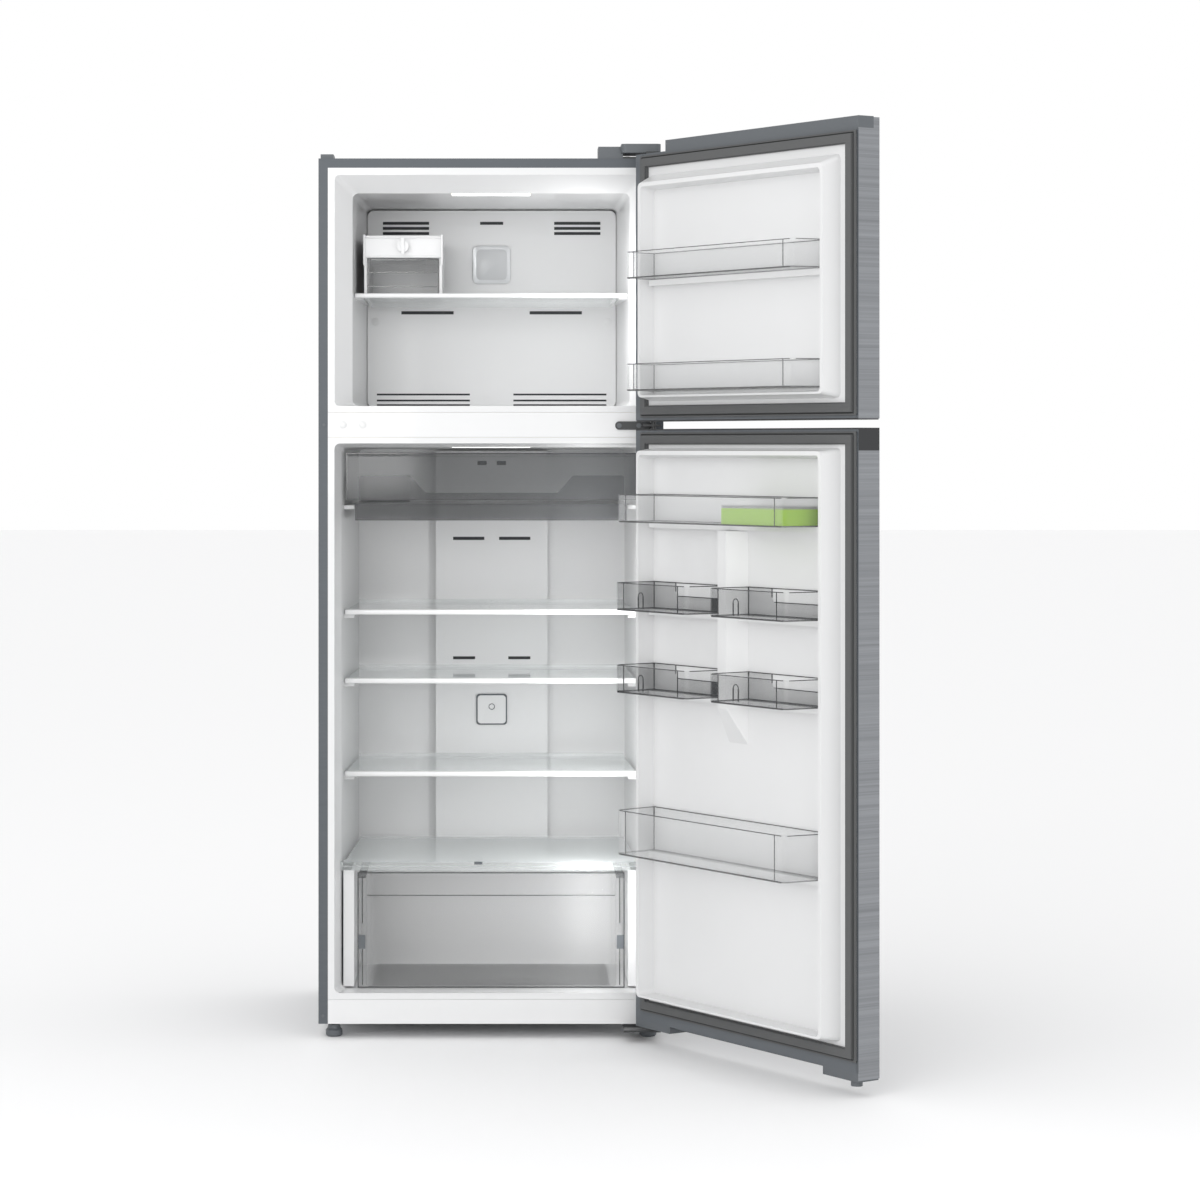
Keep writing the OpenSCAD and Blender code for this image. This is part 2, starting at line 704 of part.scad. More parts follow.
module hinge_top() {
  color(near_black) {
    block(pin_x - 100, pin_x + 8, 6, 60, cab_h, cab_h + hinge_plate);
    block(pin_x - 16, pin_x + 14, -pin_out - 13, 20, notch_z + 1.6, notch_z + 1.6 + hinge_plate);
    block(pin_x - 16, pin_x + 8, 6, 20, cab_h + hinge_plate - eps, notch_z + 1.7);
    rod_z(pin_x, -pin_out, notch_z - pin_h, notch_z + 2, pin_r);
  }
}

module hinge_top_cover() {
  color(dark_grey) difference() {
    union() {
      block(pin_x - 110, pin_x - 60, 2, 64, cab_h, cab_h + 24);
      prism_z(pin_x - 64, pin_x + 16, -pin_out + 20, 64, notch_z + 6.2, cab_h + 28, 10);
    }
    block(pin_x - 101, pin_x + 20, 3.5, 61, cab_h - 1, notch_z + 7);
  }
}

module hinge_middle() {
  z0 = (freezer_door_z + fridge_door_top) / 2;
  color(near_black) {
    prism_y(pin_x - 76, pin_x - 2, z0 - 8.5, z0 + 8.5, -hinge_plate, 0, 8);
    block(pin_x - 22, pin_x + 14, -pin_out - 13, -hinge_plate + 0.1, z0 - 2, z0 + 2);
    rod_z(pin_x, -pin_out, z0 - doors_apart / 2 - pin_h, z0 + doors_apart / 2 + pin_h, pin_r);
  }
}

module hinge_bottom() {
  z0 = cab_base - 8;
  color(dark_grey) {
    block(pin_x - 60, pin_x + 14, -pin_out - 13, 12, z0, z0 + hinge_plate);
    difference() {
      block(pin_x - 60, pin_x + 14, 2, 60, z0, cab_base);
      rod_z(foot_x, foot_y, 0, 100, foot_r + 2);
    }
    rod_z(pin_x, -pin_out, z0 + 1, door_foot + pin_h, pin_r);
  }
}

module screws_and_plugs() {
  z0 = (beam_top + beam_low) / 2;
  color(white) for (x = [-half_w + 50, -half_w + 90]) rod_y(x, -1.5, 0, z0, 6);
  color(dark_grey) translate([-half_w + 4, 6, cab_h]) rotate([90, 0, 90]) linear_extrude(26)
    polygon([[0, 0], [60, 0], [60, 9], [0, 9]]);
  color(dark_grey) {
    rod_y(-half_w + 11, -1.5, 0, z0, 3);
    rod_y(-half_w + 9, -1.5, 0, cab_base + 16, 3);
    for (x = [pin_x - 68, pin_x - 28]) rod_y(x, -hinge_plate - 2, -hinge_plate, (freezer_door_z + fridge_door_top) / 2, 5);
    for (x = [pin_x - 90, pin_x - 50]) rod_z(x, 40, cab_h + hinge_plate, cab_h + hinge_plate + 3, 5.5);
  }
}

module foot(x) {
  color(dark_grey) {
    rod_z(x, foot_y, 12, cab_base + 18, stem_r);
    translate([x, foot_y, 0]) rotate_extrude($fn = 48) polygon([[0, 0], [foot_r - 3, 0], [foot_r, 3],
      [foot_r, 13], [foot_r - 4, 17], [foot_r - 5, 24], [0, 24]]);
  }
}

module foot_left() {
  foot(-foot_x);
}

module foot_right() {
  foot(foot_x);
}

module rear_rollers() {
  color(near_black) for (s = [-1, 1]) {
    rod_x(s * roller_x - roller_half, s * roller_x + roller_half, roller_y, roller_r, roller_r);
    rod_x(s * roller_x - 17, s * roller_x + 17, roller_y, roller_r, axle_r);
  }
}

// ---- doors, drawn shut and turned open about the hinge pins ----

cap_back = 14;
module skin(z0, z1, with_notch) {
  difference() {
    block(-half_w, half_w, door_out, door_in, z0, z1);
    block(-half_w + sheet, half_w - sheet, door_out + sheet, door_in + 1, z0 - 1, z1 + 1);
    if (with_notch) {
      block(ux(notch_w), half_w + 1, door_out - 1, door_in + 1, notch_z, z1 + 1);
      block(-half_w - 1, ux(notch_w), door_out + cap_back, door_in + 1, notch_z, z1 + 1);
    }
  }
}

module pin_hole(z0, z1, r) {
  rod_z(pin_x, -pin_out, z0, z1, r);
}

rim_draft = 10;
rim_top_w = 8;

module door_core(z0, z1, lip0, lip1, foot0, foot1, rim0, rim1, rim) {
  x_foot = half_w - rim_foot;
  x_rim = x_foot - rim_draft;
  x_in = x_rim - rim_top_w;
  difference() {
    union() {
      block(-half_w + sheet, half_w - sheet, door_out + sheet, door_in, z0, z1);
      block(-half_w + 6, half_w - 27, door_in - eps, door_in + 2.5, lip0, lip1);
      hull() {
        prism_y(-x_foot, x_foot, foot0, foot1, door_in, door_in + eps, 10);
        prism_y(-x_rim, x_rim, rim0, rim1, door_in + rim - eps, door_in + rim, 10);
      }
    }
    hull() {
      prism_y(-x_in, x_in, rim0 + 4, rim1 - rim_top_w, door_in + rim, door_in + rim + 1, 8);
      prism_y(-x_in + 6, x_in - 6, rim0 + 7, rim1 - rim_top_w - 6, door_in + liner_rise, door_in + liner_rise + eps, 8);
    }
  }
}

freezer_core_z = freezer_door_z + 8;
freezer_gasket_low = freezer_door_z + 8;
freezer_gasket_top = notch_z - 5;
fridge_core_top = fridge_door_top - grip_h;
fridge_gasket_top = fridge_door_top - 7;
fridge_gasket_low = door_foot + 34;

module bin_ledge(z) {
  block(-half_w + bin_end, half_w - bin_end, door_in + liner_rise - 1, door_in + liner_rise + 14,
    z - 12, z - rest_gap);
}

module freezer_door_skin() {
  color(steel_grey) on_open_door() skin(freezer_door_z + 2, freezer_door_top - 1.5, true);
}

module freezer_door_liner() {
  color(white) on_open_door() difference() {
    union() {
      door_core(freezer_core_z, notch_z - 20, freezer_gasket_low + 3, freezer_gasket_top - 3,
        freezer_door_z + 40, freezer_top - 8, freezer_door_z + 48, freezer_top - 26, freezer_rim);
      bin_ledge(freezer_bin_up_z);
    }
    pin_hole(freezer_door_z, freezer_door_z + 40, 14);
    pin_hole(notch_z - 60, notch_z, 14);
  }
}

module gasket(z0, z1) {
  y0 = door_in + 2.6;
  y1 = -face_gap;
  difference() {
    block(-half_w + gasket_free, half_w - gasket_hinge, y0, y1, z0, z1);
    block(-half_w + gasket_free + gasket_w, half_w - gasket_hinge - gasket_w, y0 - 1, y1 + 1,
      z0 + gasket_w, z1 - gasket_w);
    block(-half_w + gasket_free + 5, half_w - gasket_hinge - 5, y0 - 1, y0 + 3, z0 + 5, z1 - 5);
  }
}

module freezer_door_gasket() {
  color([0.4, 0.41, 0.41]) on_open_door() gasket(freezer_gasket_low, freezer_gasket_top);
}

module freezer_door_top_cap() {
  color(dark_grey) on_open_door() difference() {
    union() {
      block(-half_w + sheet, half_w - sheet, door_out + sheet, door_in - 0.2, notch_z - 20, notch_z);
      block(-half_w, ux(notch_w), door_out + cap_back, door_in - 0.2, notch_z - eps, freezer_door_top);
    }
    pin_hole(notch_z - 30, notch_z + 1, pin_r + run_gap);
  }
}

module freezer_door_base_cap() {
  z = freezer_door_z;
  color(near_black) on_open_door() difference() {
    union() {
      block(-half_w + sheet, half_w - sheet, door_out + sheet, door_in - 1, z, z + 8);
      rod_z(pin_x, -pin_out, z, z + 24, 13);
    }
    pin_hole(z - 1, z + 20, pin_r + run_gap);
  }
}

module bin(x0, x1, y0, y1, z0, h) {
  c = 9;
  translate([0, 0, z0]) difference() {
    linear_extrude(h) polygon([[x0, y0], [x0, y0 + 30], [x0 + c, y1 - 12], [x0 + c + 10, y1],
      [x1 - c - 10, y1], [x1 - c, y1 - 12], [x1, y0 + 30], [x1, y0]]);
    translate([0, 0, bin_t]) linear_extrude(h) polygon([[x0 + bin_t, y0 + bin_t], [x0 + bin_t, y0 + 30],
      [x0 + c + bin_t, y1 - 12], [x0 + c + 10 + bin_t, y1 - bin_t], [x1 - c - 10 - bin_t, y1 - bin_t],
      [x1 - c - bin_t, y1 - 12], [x1 - bin_t, y0 + 30], [x1 - bin_t, y0 + bin_t]]);
  }
}

freezer_bin_up_z = freezer_shelf_z + 18;
freezer_bin_low_z = freezer_door_z + 60;
freezer_bin_y0 = door_in + liner_rise;

module freezer_bin_upper() {
  color(clear) on_open_door()
    bin(-half_w + bin_end, half_w - bin_end, freezer_bin_y0 + seat_gap, freezer_bin_y0 + freezer_bin_d,
      freezer_bin_up_z, freezer_bin_h);
}

module freezer_bin_lower() {
  color(clear) on_open_door()
    bin(-half_w + bin_end, half_w - bin_end, freezer_bin_y0 + seat_gap, freezer_bin_y0 + freezer_bin_d,
      freezer_bin_low_z, freezer_bin_h);
}

module fridge_door_skin() {
  color(steel_grey) on_open_door() skin(door_foot, fridge_door_top - grip_h, false);
}

top_bin_z = chiller_z + 3;
second_bin_z = shelf_up_z + 13;
third_bin_z = shelf_mid_z - 8;
bottle_bin_z = cover_top + 41;
fridge_bin_y0 = door_in + liner_rise;

module fridge_door_liner() {
  y = door_in + fridge_rim - 3;
  color(white) on_open_door() difference() {
    union() {
      door_core(fridge_gasket_low - 20, fridge_core_top, fridge_gasket_low + 3, fridge_gasket_top - 3,
        sill_z + 6, fridge_top - 9, sill_z + 12, fridge_top - 15, fridge_rim);
      block(-half_w + 6, half_w - 27, door_in - 20, door_in + 2.5, fridge_core_top - 1, fridge_gasket_top - 3);
      bin_ledge(top_bin_z);
      bin_ledge(second_bin_z);
      bin_ledge(third_bin_z);
      bin_ledge(bottle_bin_z);
      hull() {
        block(-half_gap + 2, half_gap - 2, fridge_bin_y0 - 1, fridge_bin_y0, third_bin_z - 86, top_bin_z - 13);
        block(0, half_gap - 4, y - 1, y, third_bin_z - 18, top_bin_z - 13);
      }
    }
    pin_hole(0, door_foot + 60, 14);
    pin_hole(fridge_core_top - 20, fridge_door_top, 14);
  }
}

module fridge_door_gasket() {
  color([0.4, 0.41, 0.41]) on_open_door() gasket(fridge_gasket_low, fridge_gasket_top);
}

module fridge_door_grip() {
  z1 = fridge_door_top;
  color(near_black) on_open_door() difference() {
    block(-half_w, half_w, door_out, door_in - 0.2, z1 - grip_h, z1);
    block(-half_w + 30, half_w - 90, door_out + 8, door_out + 26, z1 - 30, z1 + 1);
    block(-half_w + 5, half_w - 26, door_in - 21, door_in + 1, z1 - grip_h - 1, fridge_gasket_top - 2.8);
    pin_hole(z1 - 20, z1 + 1, pin_r + run_gap);
  }
}

module fridge_door_base_cap() {
  z = door_foot;
  color(dark_grey) on_open_door() {
    difference() {
      union() {
        block(ux(115), half_w - sheet, door_out + sheet, door_in, z, fridge_gasket_low - 20);
        block(-half_w + sheet, ux(596), door_out + sheet, door_in, z - 3, fridge_gasket_low - 20);
        block(ux(597), ux(114), door_out + sheet, door_in - 14, z + 8, fridge_gasket_low - 20);
        rod_z(pin_x, -pin_out, z, z + 30, 13);
      }
      pin_hole(z - 1, z + 22, pin_r + run_gap);
    }
    rod_z(ux(678), door_in - 14, z - 13, z - 2.9, 11);
  }
}

module fridge_bin_top() {
  color(clear) on_open_door()
    bin(-half_w + bin_end, half_w - bin_end, fridge_bin_y0 + seat_gap, fridge_bin_y0 + fridge_bin_d,
      top_bin_z, fridge_bin_h);
}

half_gap = 31;
module half_bin(side, z) {
  x0 = side < 0 ? half_gap : -half_w + bin_end;
  x1 = side < 0 ? half_w - bin_end : -half_gap;
  color(smoke) on_open_door()
    bin(x0, x1, fridge_bin_y0 + seat_gap, fridge_bin_y0 + fridge_bin_d, z, fridge_bin_h);
}

module half_bin_upper_left() {
  half_bin(-1, second_bin_z);
}

module half_bin_upper_right() {
  half_bin(1, second_bin_z);
}

module half_bin_lower_left() {
  half_bin(-1, third_bin_z);
}

module half_bin_lower_right() {
  half_bin(1, third_bin_z);
}

module bottle_bin() {
  color(clear) on_open_door()
    bin(-half_w + bin_end, half_w - bin_end, fridge_bin_y0 + seat_gap, fridge_bin_y0 + fridge_bin_d,
      bottle_bin_z, bottle_bin_h);
}

egg_x0 = ux(602);
egg_x1 = ux(415);
egg_y0 = fridge_bin_y0 + 9;
egg_y1 = fridge_bin_y0 + fridge_bin_d - 8;
egg_z = top_bin_z + bin_t + 0.2;
egg_h = 30;

module egg_tray() {
  color([0.6, 0.78, 0.15]) on_open_door() difference() {
    block(egg_x0, egg_x1, egg_y0, egg_y1, egg_z, egg_z + egg_h);
    for (k = [0 : 3], s = [0, 1]) rod_z(egg_x0 + 24 + k * 46, egg_y0 + 21 + s * 42, egg_z + 8, egg_z + 40, 18);
  }
}

module egg_lid() {
  z = egg_z + egg_h + seat_gap;
  color(clear) on_open_door() difference() {
    block(egg_x0, egg_x1, egg_y0, egg_y1, z, z + 6);
    block(egg_x0 + 1.5, egg_x1 - 1.5, egg_y0 + 1.5, egg_y1 - 1.5, z - 1, z + 4.5);
  }
}

cabinet_shell();
back_panel();
cabinet_foam();
freezer_liner();
fridge_liner();
front_rails();
base_pan();
evaporator_cover();
evaporator_coil();
evaporator_fan_frame();
evaporator_fan();
interior_lamps();
freezer_shelf();
ice_maker_frame();
ice_tray();
ice_bin();
duct_panel();
shelf_upper();
shelf_middle();
shelf_lower();
crisper_rails();
crisper_cover();
humidity_slider();
crisper_drawer();
chiller_tray();
chiller_flap();
compressor();
condenser_coil();
condenser_fan();
drain_pan();
machine_cover();
cord_gland();
hinge_top();
hinge_top_cover();
hinge_middle();
hinge_bottom();
screws_and_plugs();
foot_left();
foot_right();
rear_rollers();
freezer_door_skin();
freezer_door_liner();
freezer_door_gasket();
freezer_door_top_cap();
freezer_door_base_cap();
freezer_bin_upper();
freezer_bin_lower();
fridge_door_skin();
fridge_door_liner();
fridge_door_gasket();
fridge_door_grip();
fridge_door_base_cap();
fridge_bin_top();
half_bin_upper_left();
half_bin_upper_right();
half_bin_lower_left();
half_bin_lower_right();
bottle_bin();
egg_tray();
egg_lid();
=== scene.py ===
"""Looks of a top freezer refrigerator with both doors standing open.

Laid out as an add-on: each piece has an operator, sizes and colours are properties,
and the panel in the 3D view's sidebar lists them. All lengths are in metres.
"""

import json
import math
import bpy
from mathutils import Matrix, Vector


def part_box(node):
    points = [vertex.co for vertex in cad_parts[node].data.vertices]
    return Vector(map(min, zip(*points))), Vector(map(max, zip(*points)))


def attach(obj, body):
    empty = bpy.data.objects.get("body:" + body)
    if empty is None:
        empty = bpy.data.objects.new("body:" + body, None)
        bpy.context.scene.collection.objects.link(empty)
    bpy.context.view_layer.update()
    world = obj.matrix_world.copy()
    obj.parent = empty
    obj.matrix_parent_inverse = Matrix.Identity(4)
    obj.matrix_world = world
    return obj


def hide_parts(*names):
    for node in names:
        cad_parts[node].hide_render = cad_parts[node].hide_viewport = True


bl_info = {
    "name": "Top Freezer Refrigerator",
    "version": (1, 0, 0),
    "blender": (4, 5, 0),
    "location": "View3D > Sidebar > Refrigerator",
    "description": "Builds the finishes and fine pieces of a two-door refrigerator",
    "category": "Add Mesh",
}

import bpy
from bpy.props import FloatProperty, FloatVectorProperty, PointerProperty
from bpy.types import Operator, Panel, PropertyGroup
from mathutils import Matrix, Vector

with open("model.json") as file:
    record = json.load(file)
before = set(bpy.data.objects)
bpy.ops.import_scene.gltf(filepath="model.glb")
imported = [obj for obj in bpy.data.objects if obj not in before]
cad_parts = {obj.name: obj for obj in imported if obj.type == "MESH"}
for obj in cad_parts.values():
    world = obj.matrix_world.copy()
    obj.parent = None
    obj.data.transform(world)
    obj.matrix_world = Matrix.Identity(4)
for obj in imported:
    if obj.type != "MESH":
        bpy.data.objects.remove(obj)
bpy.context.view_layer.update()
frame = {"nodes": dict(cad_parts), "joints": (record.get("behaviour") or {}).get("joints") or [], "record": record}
JOINTS = {joint["name"]: joint for joint in frame["joints"]}
MM = 0.001
SMOOTH = math.radians(35)


# ---- placing on the open doors ----

SWING = JOINTS["fridge_door_swing"]
HINGE = Vector(SWING["pos_m"])
OPEN_ANGLE = math.radians(-SWING["range_deg"][0])
OPENED = (
    Matrix.Translation(HINGE) @ Matrix.Rotation(OPEN_ANGLE, 4, "Z") @ Matrix.Translation(-HINGE)
)
SHUT = OPENED.inverted()


def shut_box(node):
    """Lowest and highest corners of a door's node with the door shut."""
    points = [SHUT @ v.co for v in frame["nodes"][node].data.vertices]
    low = Vector(min(p[i] for p in points) for i in range(3))
    high = Vector(max(p[i] for p in points) for i in range(3))
    return low, high


def node_box(node):
    """Lowest and highest corners of a node as vectors."""
    low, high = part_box(node)
    return Vector(low), Vector(high)


# ---- modelling helpers ----


def deselect():
    """Leaves edit mode and deselects everything."""
    if bpy.context.object and bpy.context.object.mode != "OBJECT":
        bpy.ops.object.mode_set(mode="OBJECT")
    bpy.ops.object.select_all(action="DESELECT")


def make_active(piece):
    deselect()
    piece.select_set(True)
    bpy.context.view_layer.objects.active = piece


def apply_place(piece):
    """Puts an object's place into its mesh."""
    make_active(piece)
    bpy.ops.object.transform_apply(location=True, rotation=True, scale=True)


def block(name, low, high):
    """A box between two corners."""
    deselect()
    low, high = Vector(low), Vector(high)
    bpy.ops.mesh.primitive_cube_add(size=1, location=(low + high) / 2)
    piece = bpy.context.object
    piece.name = name
    piece.scale = high - low
    apply_place(piece)
    return piece


def dressed(name, low, high, look):
    """A box between two corners with its finish."""
    piece = block(name, low, high)
    piece.data.materials.append(MATERIALS[look])
    return piece


def disc(name, centre, radius, depth):
    """A short cylinder that faces the front."""
    deselect()
    bpy.ops.mesh.primitive_cylinder_add(vertices=32, radius=radius, depth=depth, location=centre)
    piece = bpy.context.object
    piece.name = name
    piece.rotation_euler = (math.pi / 2, 0, 0)
    apply_place(piece)
    return piece


def pick_faces(piece, test):
    """Opens edit mode with the faces chosen that pass the test."""
    make_active(piece)
    bpy.ops.object.mode_set(mode="EDIT")
    bpy.ops.mesh.select_mode(type="FACE")
    bpy.ops.mesh.select_all(action="DESELECT")
    bpy.ops.object.mode_set(mode="OBJECT")
    for face in piece.data.polygons:
        face.select = test(face)
    bpy.ops.object.mode_set(mode="EDIT")


def pick_edges(piece, test):
    """Opens edit mode with the edges chosen whose two ends pass the test."""
    make_active(piece)
    bpy.ops.object.mode_set(mode="EDIT")
    bpy.ops.mesh.select_mode(type="EDGE")
    bpy.ops.mesh.select_all(action="DESELECT")
    bpy.ops.object.mode_set(mode="OBJECT")
    points = piece.data.vertices
    for edge in piece.data.edges:
        edge.select = test(points[edge.vertices[0]].co, points[edge.vertices[1]].co)
    bpy.ops.object.mode_set(mode="EDIT")


def close_edit():
    bpy.ops.object.mode_set(mode="OBJECT")


def near(a, b, gap=0.2 * MM):
    return abs(a - b) < gap


def level_with_y(a, b):
    """True of an edge that runs along Y."""
    return near(a.x, b.x) and near(a.z, b.z)


def upright(a, b):
    """True of an edge that runs along Z."""
    return near(a.x, b.x) and near(a.y, b.y)


def looks_up(face):
    return face.normal.z > 0.9


def looks_back(face):
    return face.normal.y > 0.9


def bevel_edges(piece, test, width, segments):
    """Rounds the edges that pass the test."""
    pick_edges(piece, test)
    bpy.ops.mesh.bevel(offset=width, segments=segments)
    close_edit()


def ring(centre, major, minor, sides, round_sides):
    """A round ring that faces the front."""
    deselect()
    bpy.ops.mesh.primitive_torus_add(
        major_radius=major, minor_radius=minor, major_segments=sides, minor_segments=round_sides,
        location=centre, rotation=(math.pi / 2, 0, 0),
    )
    piece = bpy.context.object
    apply_place(piece)
    return piece


def soften(piece, width, segments=2, angle=40):
    """Rounds the sharp edges and shades the piece smooth."""
    make_active(piece)
    bevel = piece.modifiers.new("Rounded edges", "BEVEL")
    bevel.width = width
    bevel.segments = segments
    bevel.limit_method = "ANGLE"
    bevel.angle_limit = math.radians(angle)
    bpy.ops.object.modifier_apply(modifier=bevel.name)
    bpy.ops.object.shade_smooth_by_angle(angle=SMOOTH)


def join(name, pieces):
    """Makes one piece of several."""
    deselect()
    for piece in pieces:
        piece.select_set(True)
    bpy.context.view_layer.objects.active = pieces[0]
    bpy.ops.object.join()
    pieces[0].name = name
    return pieces[0]


def place(piece, body, material=None, on_door=False):
    """Turns a door's piece open, gives it its finish and hands it to its body."""
    if on_door:
        piece.matrix_world = OPENED @ piece.matrix_world
        apply_place(piece)
    if material:
        piece.data.materials.append(material)
    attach(piece, body)


# ---- shader helpers ----


class Value:
    """A shader socket that sums and products can be written with."""

    def __init__(self, sheet, socket):
        self.sheet = sheet
        self.socket = socket

    def maths(self, operation, other):
        return self.sheet.node("Math", {"operation": operation}, {0: self, 1: other})

    def __add__(self, other):
        return self.maths("ADD", other)

    __radd__ = __add__

    def __mul__(self, other):
        return self.maths("MULTIPLY", other)

    __rmul__ = __mul__


class Sheet:
    """A new material's node sheet."""

    def __init__(self, name):
        self.material = bpy.data.materials.new(name)
        self.material.use_nodes = True
        self.tree = self.material.node_tree
        self.shader = self.tree.nodes["Principled BSDF"]

    def put(self, socket, value):
        if isinstance(value, Value):
            self.tree.links.new(value.socket, socket)
        elif socket.type == "RGBA":
            socket.default_value = (*value, 1)
        else:
            socket.default_value = value

    def node(self, kind, settings=None, values=None, output=0):
        made = self.tree.nodes.new("ShaderNode" + kind)
        for key, setting in (settings or {}).items():
            setattr(made, key, setting)
        for key, value in (values or {}).items():
            self.put(made.inputs[key], value)
        return Value(self, made.outputs[output])

    def place(self, scale):
        spot = self.node("TexCoord", output="Object")
        return self.node("Mapping", None, {"Vector": spot, "Scale": scale})

    def noise(self, scale, stretch=(1, 1, 1), detail=3.0, roughness=0.5):
        return self.node(
            "TexNoise",
            None,
            {"Vector": self.place(stretch), "Scale": scale, "Detail": detail, "Roughness": roughness},
            output="Fac",
        )

    def blend(self, factor, first, second):
        return self.node("Mix", {"data_type": "RGBA"}, {0: factor, 6: first, 7: second}, output=2)

    def bump(self, height, strength, distance):
        values = {"Height": height, "Strength": strength, "Distance": distance}
        self.set("Normal", self.node("Bump", None, values))

    def set(self, name, value):
        self.put(self.shader.inputs[name], value)


def shade(colour, factor):
    """A colour made darker or lighter."""
    return tuple(min(1.0, channel * factor) for channel in colour)


def brushed(name, colour, metallic, roughness, depth):
    """Painted sheet with a fine level grain that runs along the panel."""
    sheet = Sheet(name)
    fine = sheet.noise(1.0, (2.2, 2.2, 900.0), 4.0, 0.7)
    broad = sheet.noise(1.0, (1.1, 1.1, 160.0), 3.0, 0.6)
    tone = sheet.node("MapRange", None, {0: fine * 0.5 + broad * 0.5, 1: 0.36, 2: 0.64, 3: 0.0, 4: 1.0})
    sheet.set("Base Color", sheet.blend(tone, shade(colour, 1 - depth), shade(colour, 1 + depth)))
    sheet.set("Metallic", metallic)
    sheet.set("Roughness", tone * 0.12 + roughness)
    sheet.bump(fine, 0.08, 0.0006)
    return sheet.material


def moulded(name, colour, roughness, coat=0.0, grain=0.0):
    """Moulded plastic, with a faint unevenness in its gloss."""
    sheet = Sheet(name)
    patch = sheet.noise(7.0, detail=2.0)
    sheet.set("Base Color", sheet.blend(patch, shade(colour, 0.985), shade(colour, 1.01)))
    sheet.set("Roughness", patch * 0.08 + (roughness - 0.04))
    sheet.set("Coat Weight", coat)
    if grain:
        sheet.bump(sheet.noise(1400.0, detail=1.0), grain, 0.0003)
    return sheet.material


def see_through(name, colour, face_alpha, edge_alpha, roughness=0.06):
    """Clear plastic or glass: thin where seen square on, denser at a glancing view."""
    sheet = Sheet(name)
    slant = sheet.node("LayerWeight", None, {"Blend": 0.35}, output="Facing")
    sheet.set("Base Color", colour)
    sheet.set("Alpha", slant * (edge_alpha - face_alpha) + face_alpha)
    sheet.set("Roughness", roughness)
    sheet.set("Specular IOR Level", 0.6)
    return sheet.material


def glowing(name, colour, strength):
    sheet = Sheet(name)
    sheet.set("Base Color", colour)
    sheet.set("Emission Color", colour)
    sheet.set("Emission Strength", strength)
    return sheet.material


# ---- settings ----


class SteelSettings(PropertyGroup):
    """Finish of the painted steel."""

    shell: FloatVectorProperty(name="Cabinet", description="Colour of the cabinet's steel", subtype="COLOR",
                               default=(0.085, 0.095, 0.106), min=0, max=1)
    door: FloatVectorProperty(name="Doors", description="Colour of the doors' steel", subtype="COLOR",
                              default=(0.245, 0.255, 0.27), min=0, max=1)
    grain: FloatProperty(name="Grain", description="How strongly the grain shows", default=0.2, min=0, max=1,
                         subtype="FACTOR")


class PlasticSettings(PropertyGroup):
    """Finishes of the plastic and the gaskets, and sizes of the door bins."""

    liner: FloatVectorProperty(name="Liner", description="Colour of the moulded liners", subtype="COLOR",
                               default=(0.70, 0.703, 0.706), min=0, max=1)
    black: FloatVectorProperty(name="Black trim", description="Colour of the black trim", subtype="COLOR",
                               default=(0.016, 0.017, 0.019), min=0, max=1)
    grey: FloatVectorProperty(name="Grey trim", description="Colour of the grey trim", subtype="COLOR",
                              default=(0.10, 0.11, 0.12), min=0, max=1)
    gasket: FloatVectorProperty(name="Gasket", description="Colour of the door gaskets", subtype="COLOR",
                                default=(0.085, 0.087, 0.088), min=0, max=1)
    clear: FloatVectorProperty(name="Clear", description="Tint of the clear bins", subtype="COLOR",
                               default=(0.72, 0.73, 0.735), min=0, max=1)
    smoke: FloatVectorProperty(name="Smoke", description="Tint of the smoked bins", subtype="COLOR",
                               default=(0.10, 0.105, 0.11), min=0, max=1)
    lime: FloatVectorProperty(name="Egg tray", description="Colour of the egg tray", subtype="COLOR",
                              default=(0.25, 0.45, 0.0), min=0, max=1)
    bin_wall: FloatProperty(name="Bin wall", description="Wall of the door bins", default=2.4 * MM,
                            min=1 * MM, max=5 * MM, unit="LENGTH")
    bin_corner: FloatProperty(name="Bin corner", description="Corner radius of the door bins", default=9 * MM,
                              min=1 * MM, max=30 * MM, unit="LENGTH")


class StageSettings(PropertyGroup):
    """Camera and light."""

    distance: FloatProperty(name="Distance", description="Camera to the cabinet's front", default=6.7,
                            min=1, max=20, unit="LENGTH")
    height: FloatProperty(name="Height", description="Camera above the floor", default=1.2046,
                          min=0, max=4, unit="LENGTH")
    aside: FloatProperty(name="Aside", description="Camera to the right of the cabinet's middle",
                         default=0.0223, min=-2, max=2, unit="LENGTH")
    lens: FloatProperty(name="Lens", description="Focal length in millimetres", default=99.06,
                        min=20, max=300)
    shift_x: FloatProperty(name="Shift right", description="Lens shift to the right", default=0.0817,
                           min=-1, max=1)
    shift_y: FloatProperty(name="Shift up", description="Lens shift upward", default=-0.1292,
                           min=-1, max=1)
    key: FloatProperty(name="Key light", description="Power of the main light", default=42, min=0, max=2000,
                       unit="POWER")
    sky: FloatProperty(name="Sky", description="Strength of the even light", default=1.0, min=0, max=3)


MATERIALS = {}


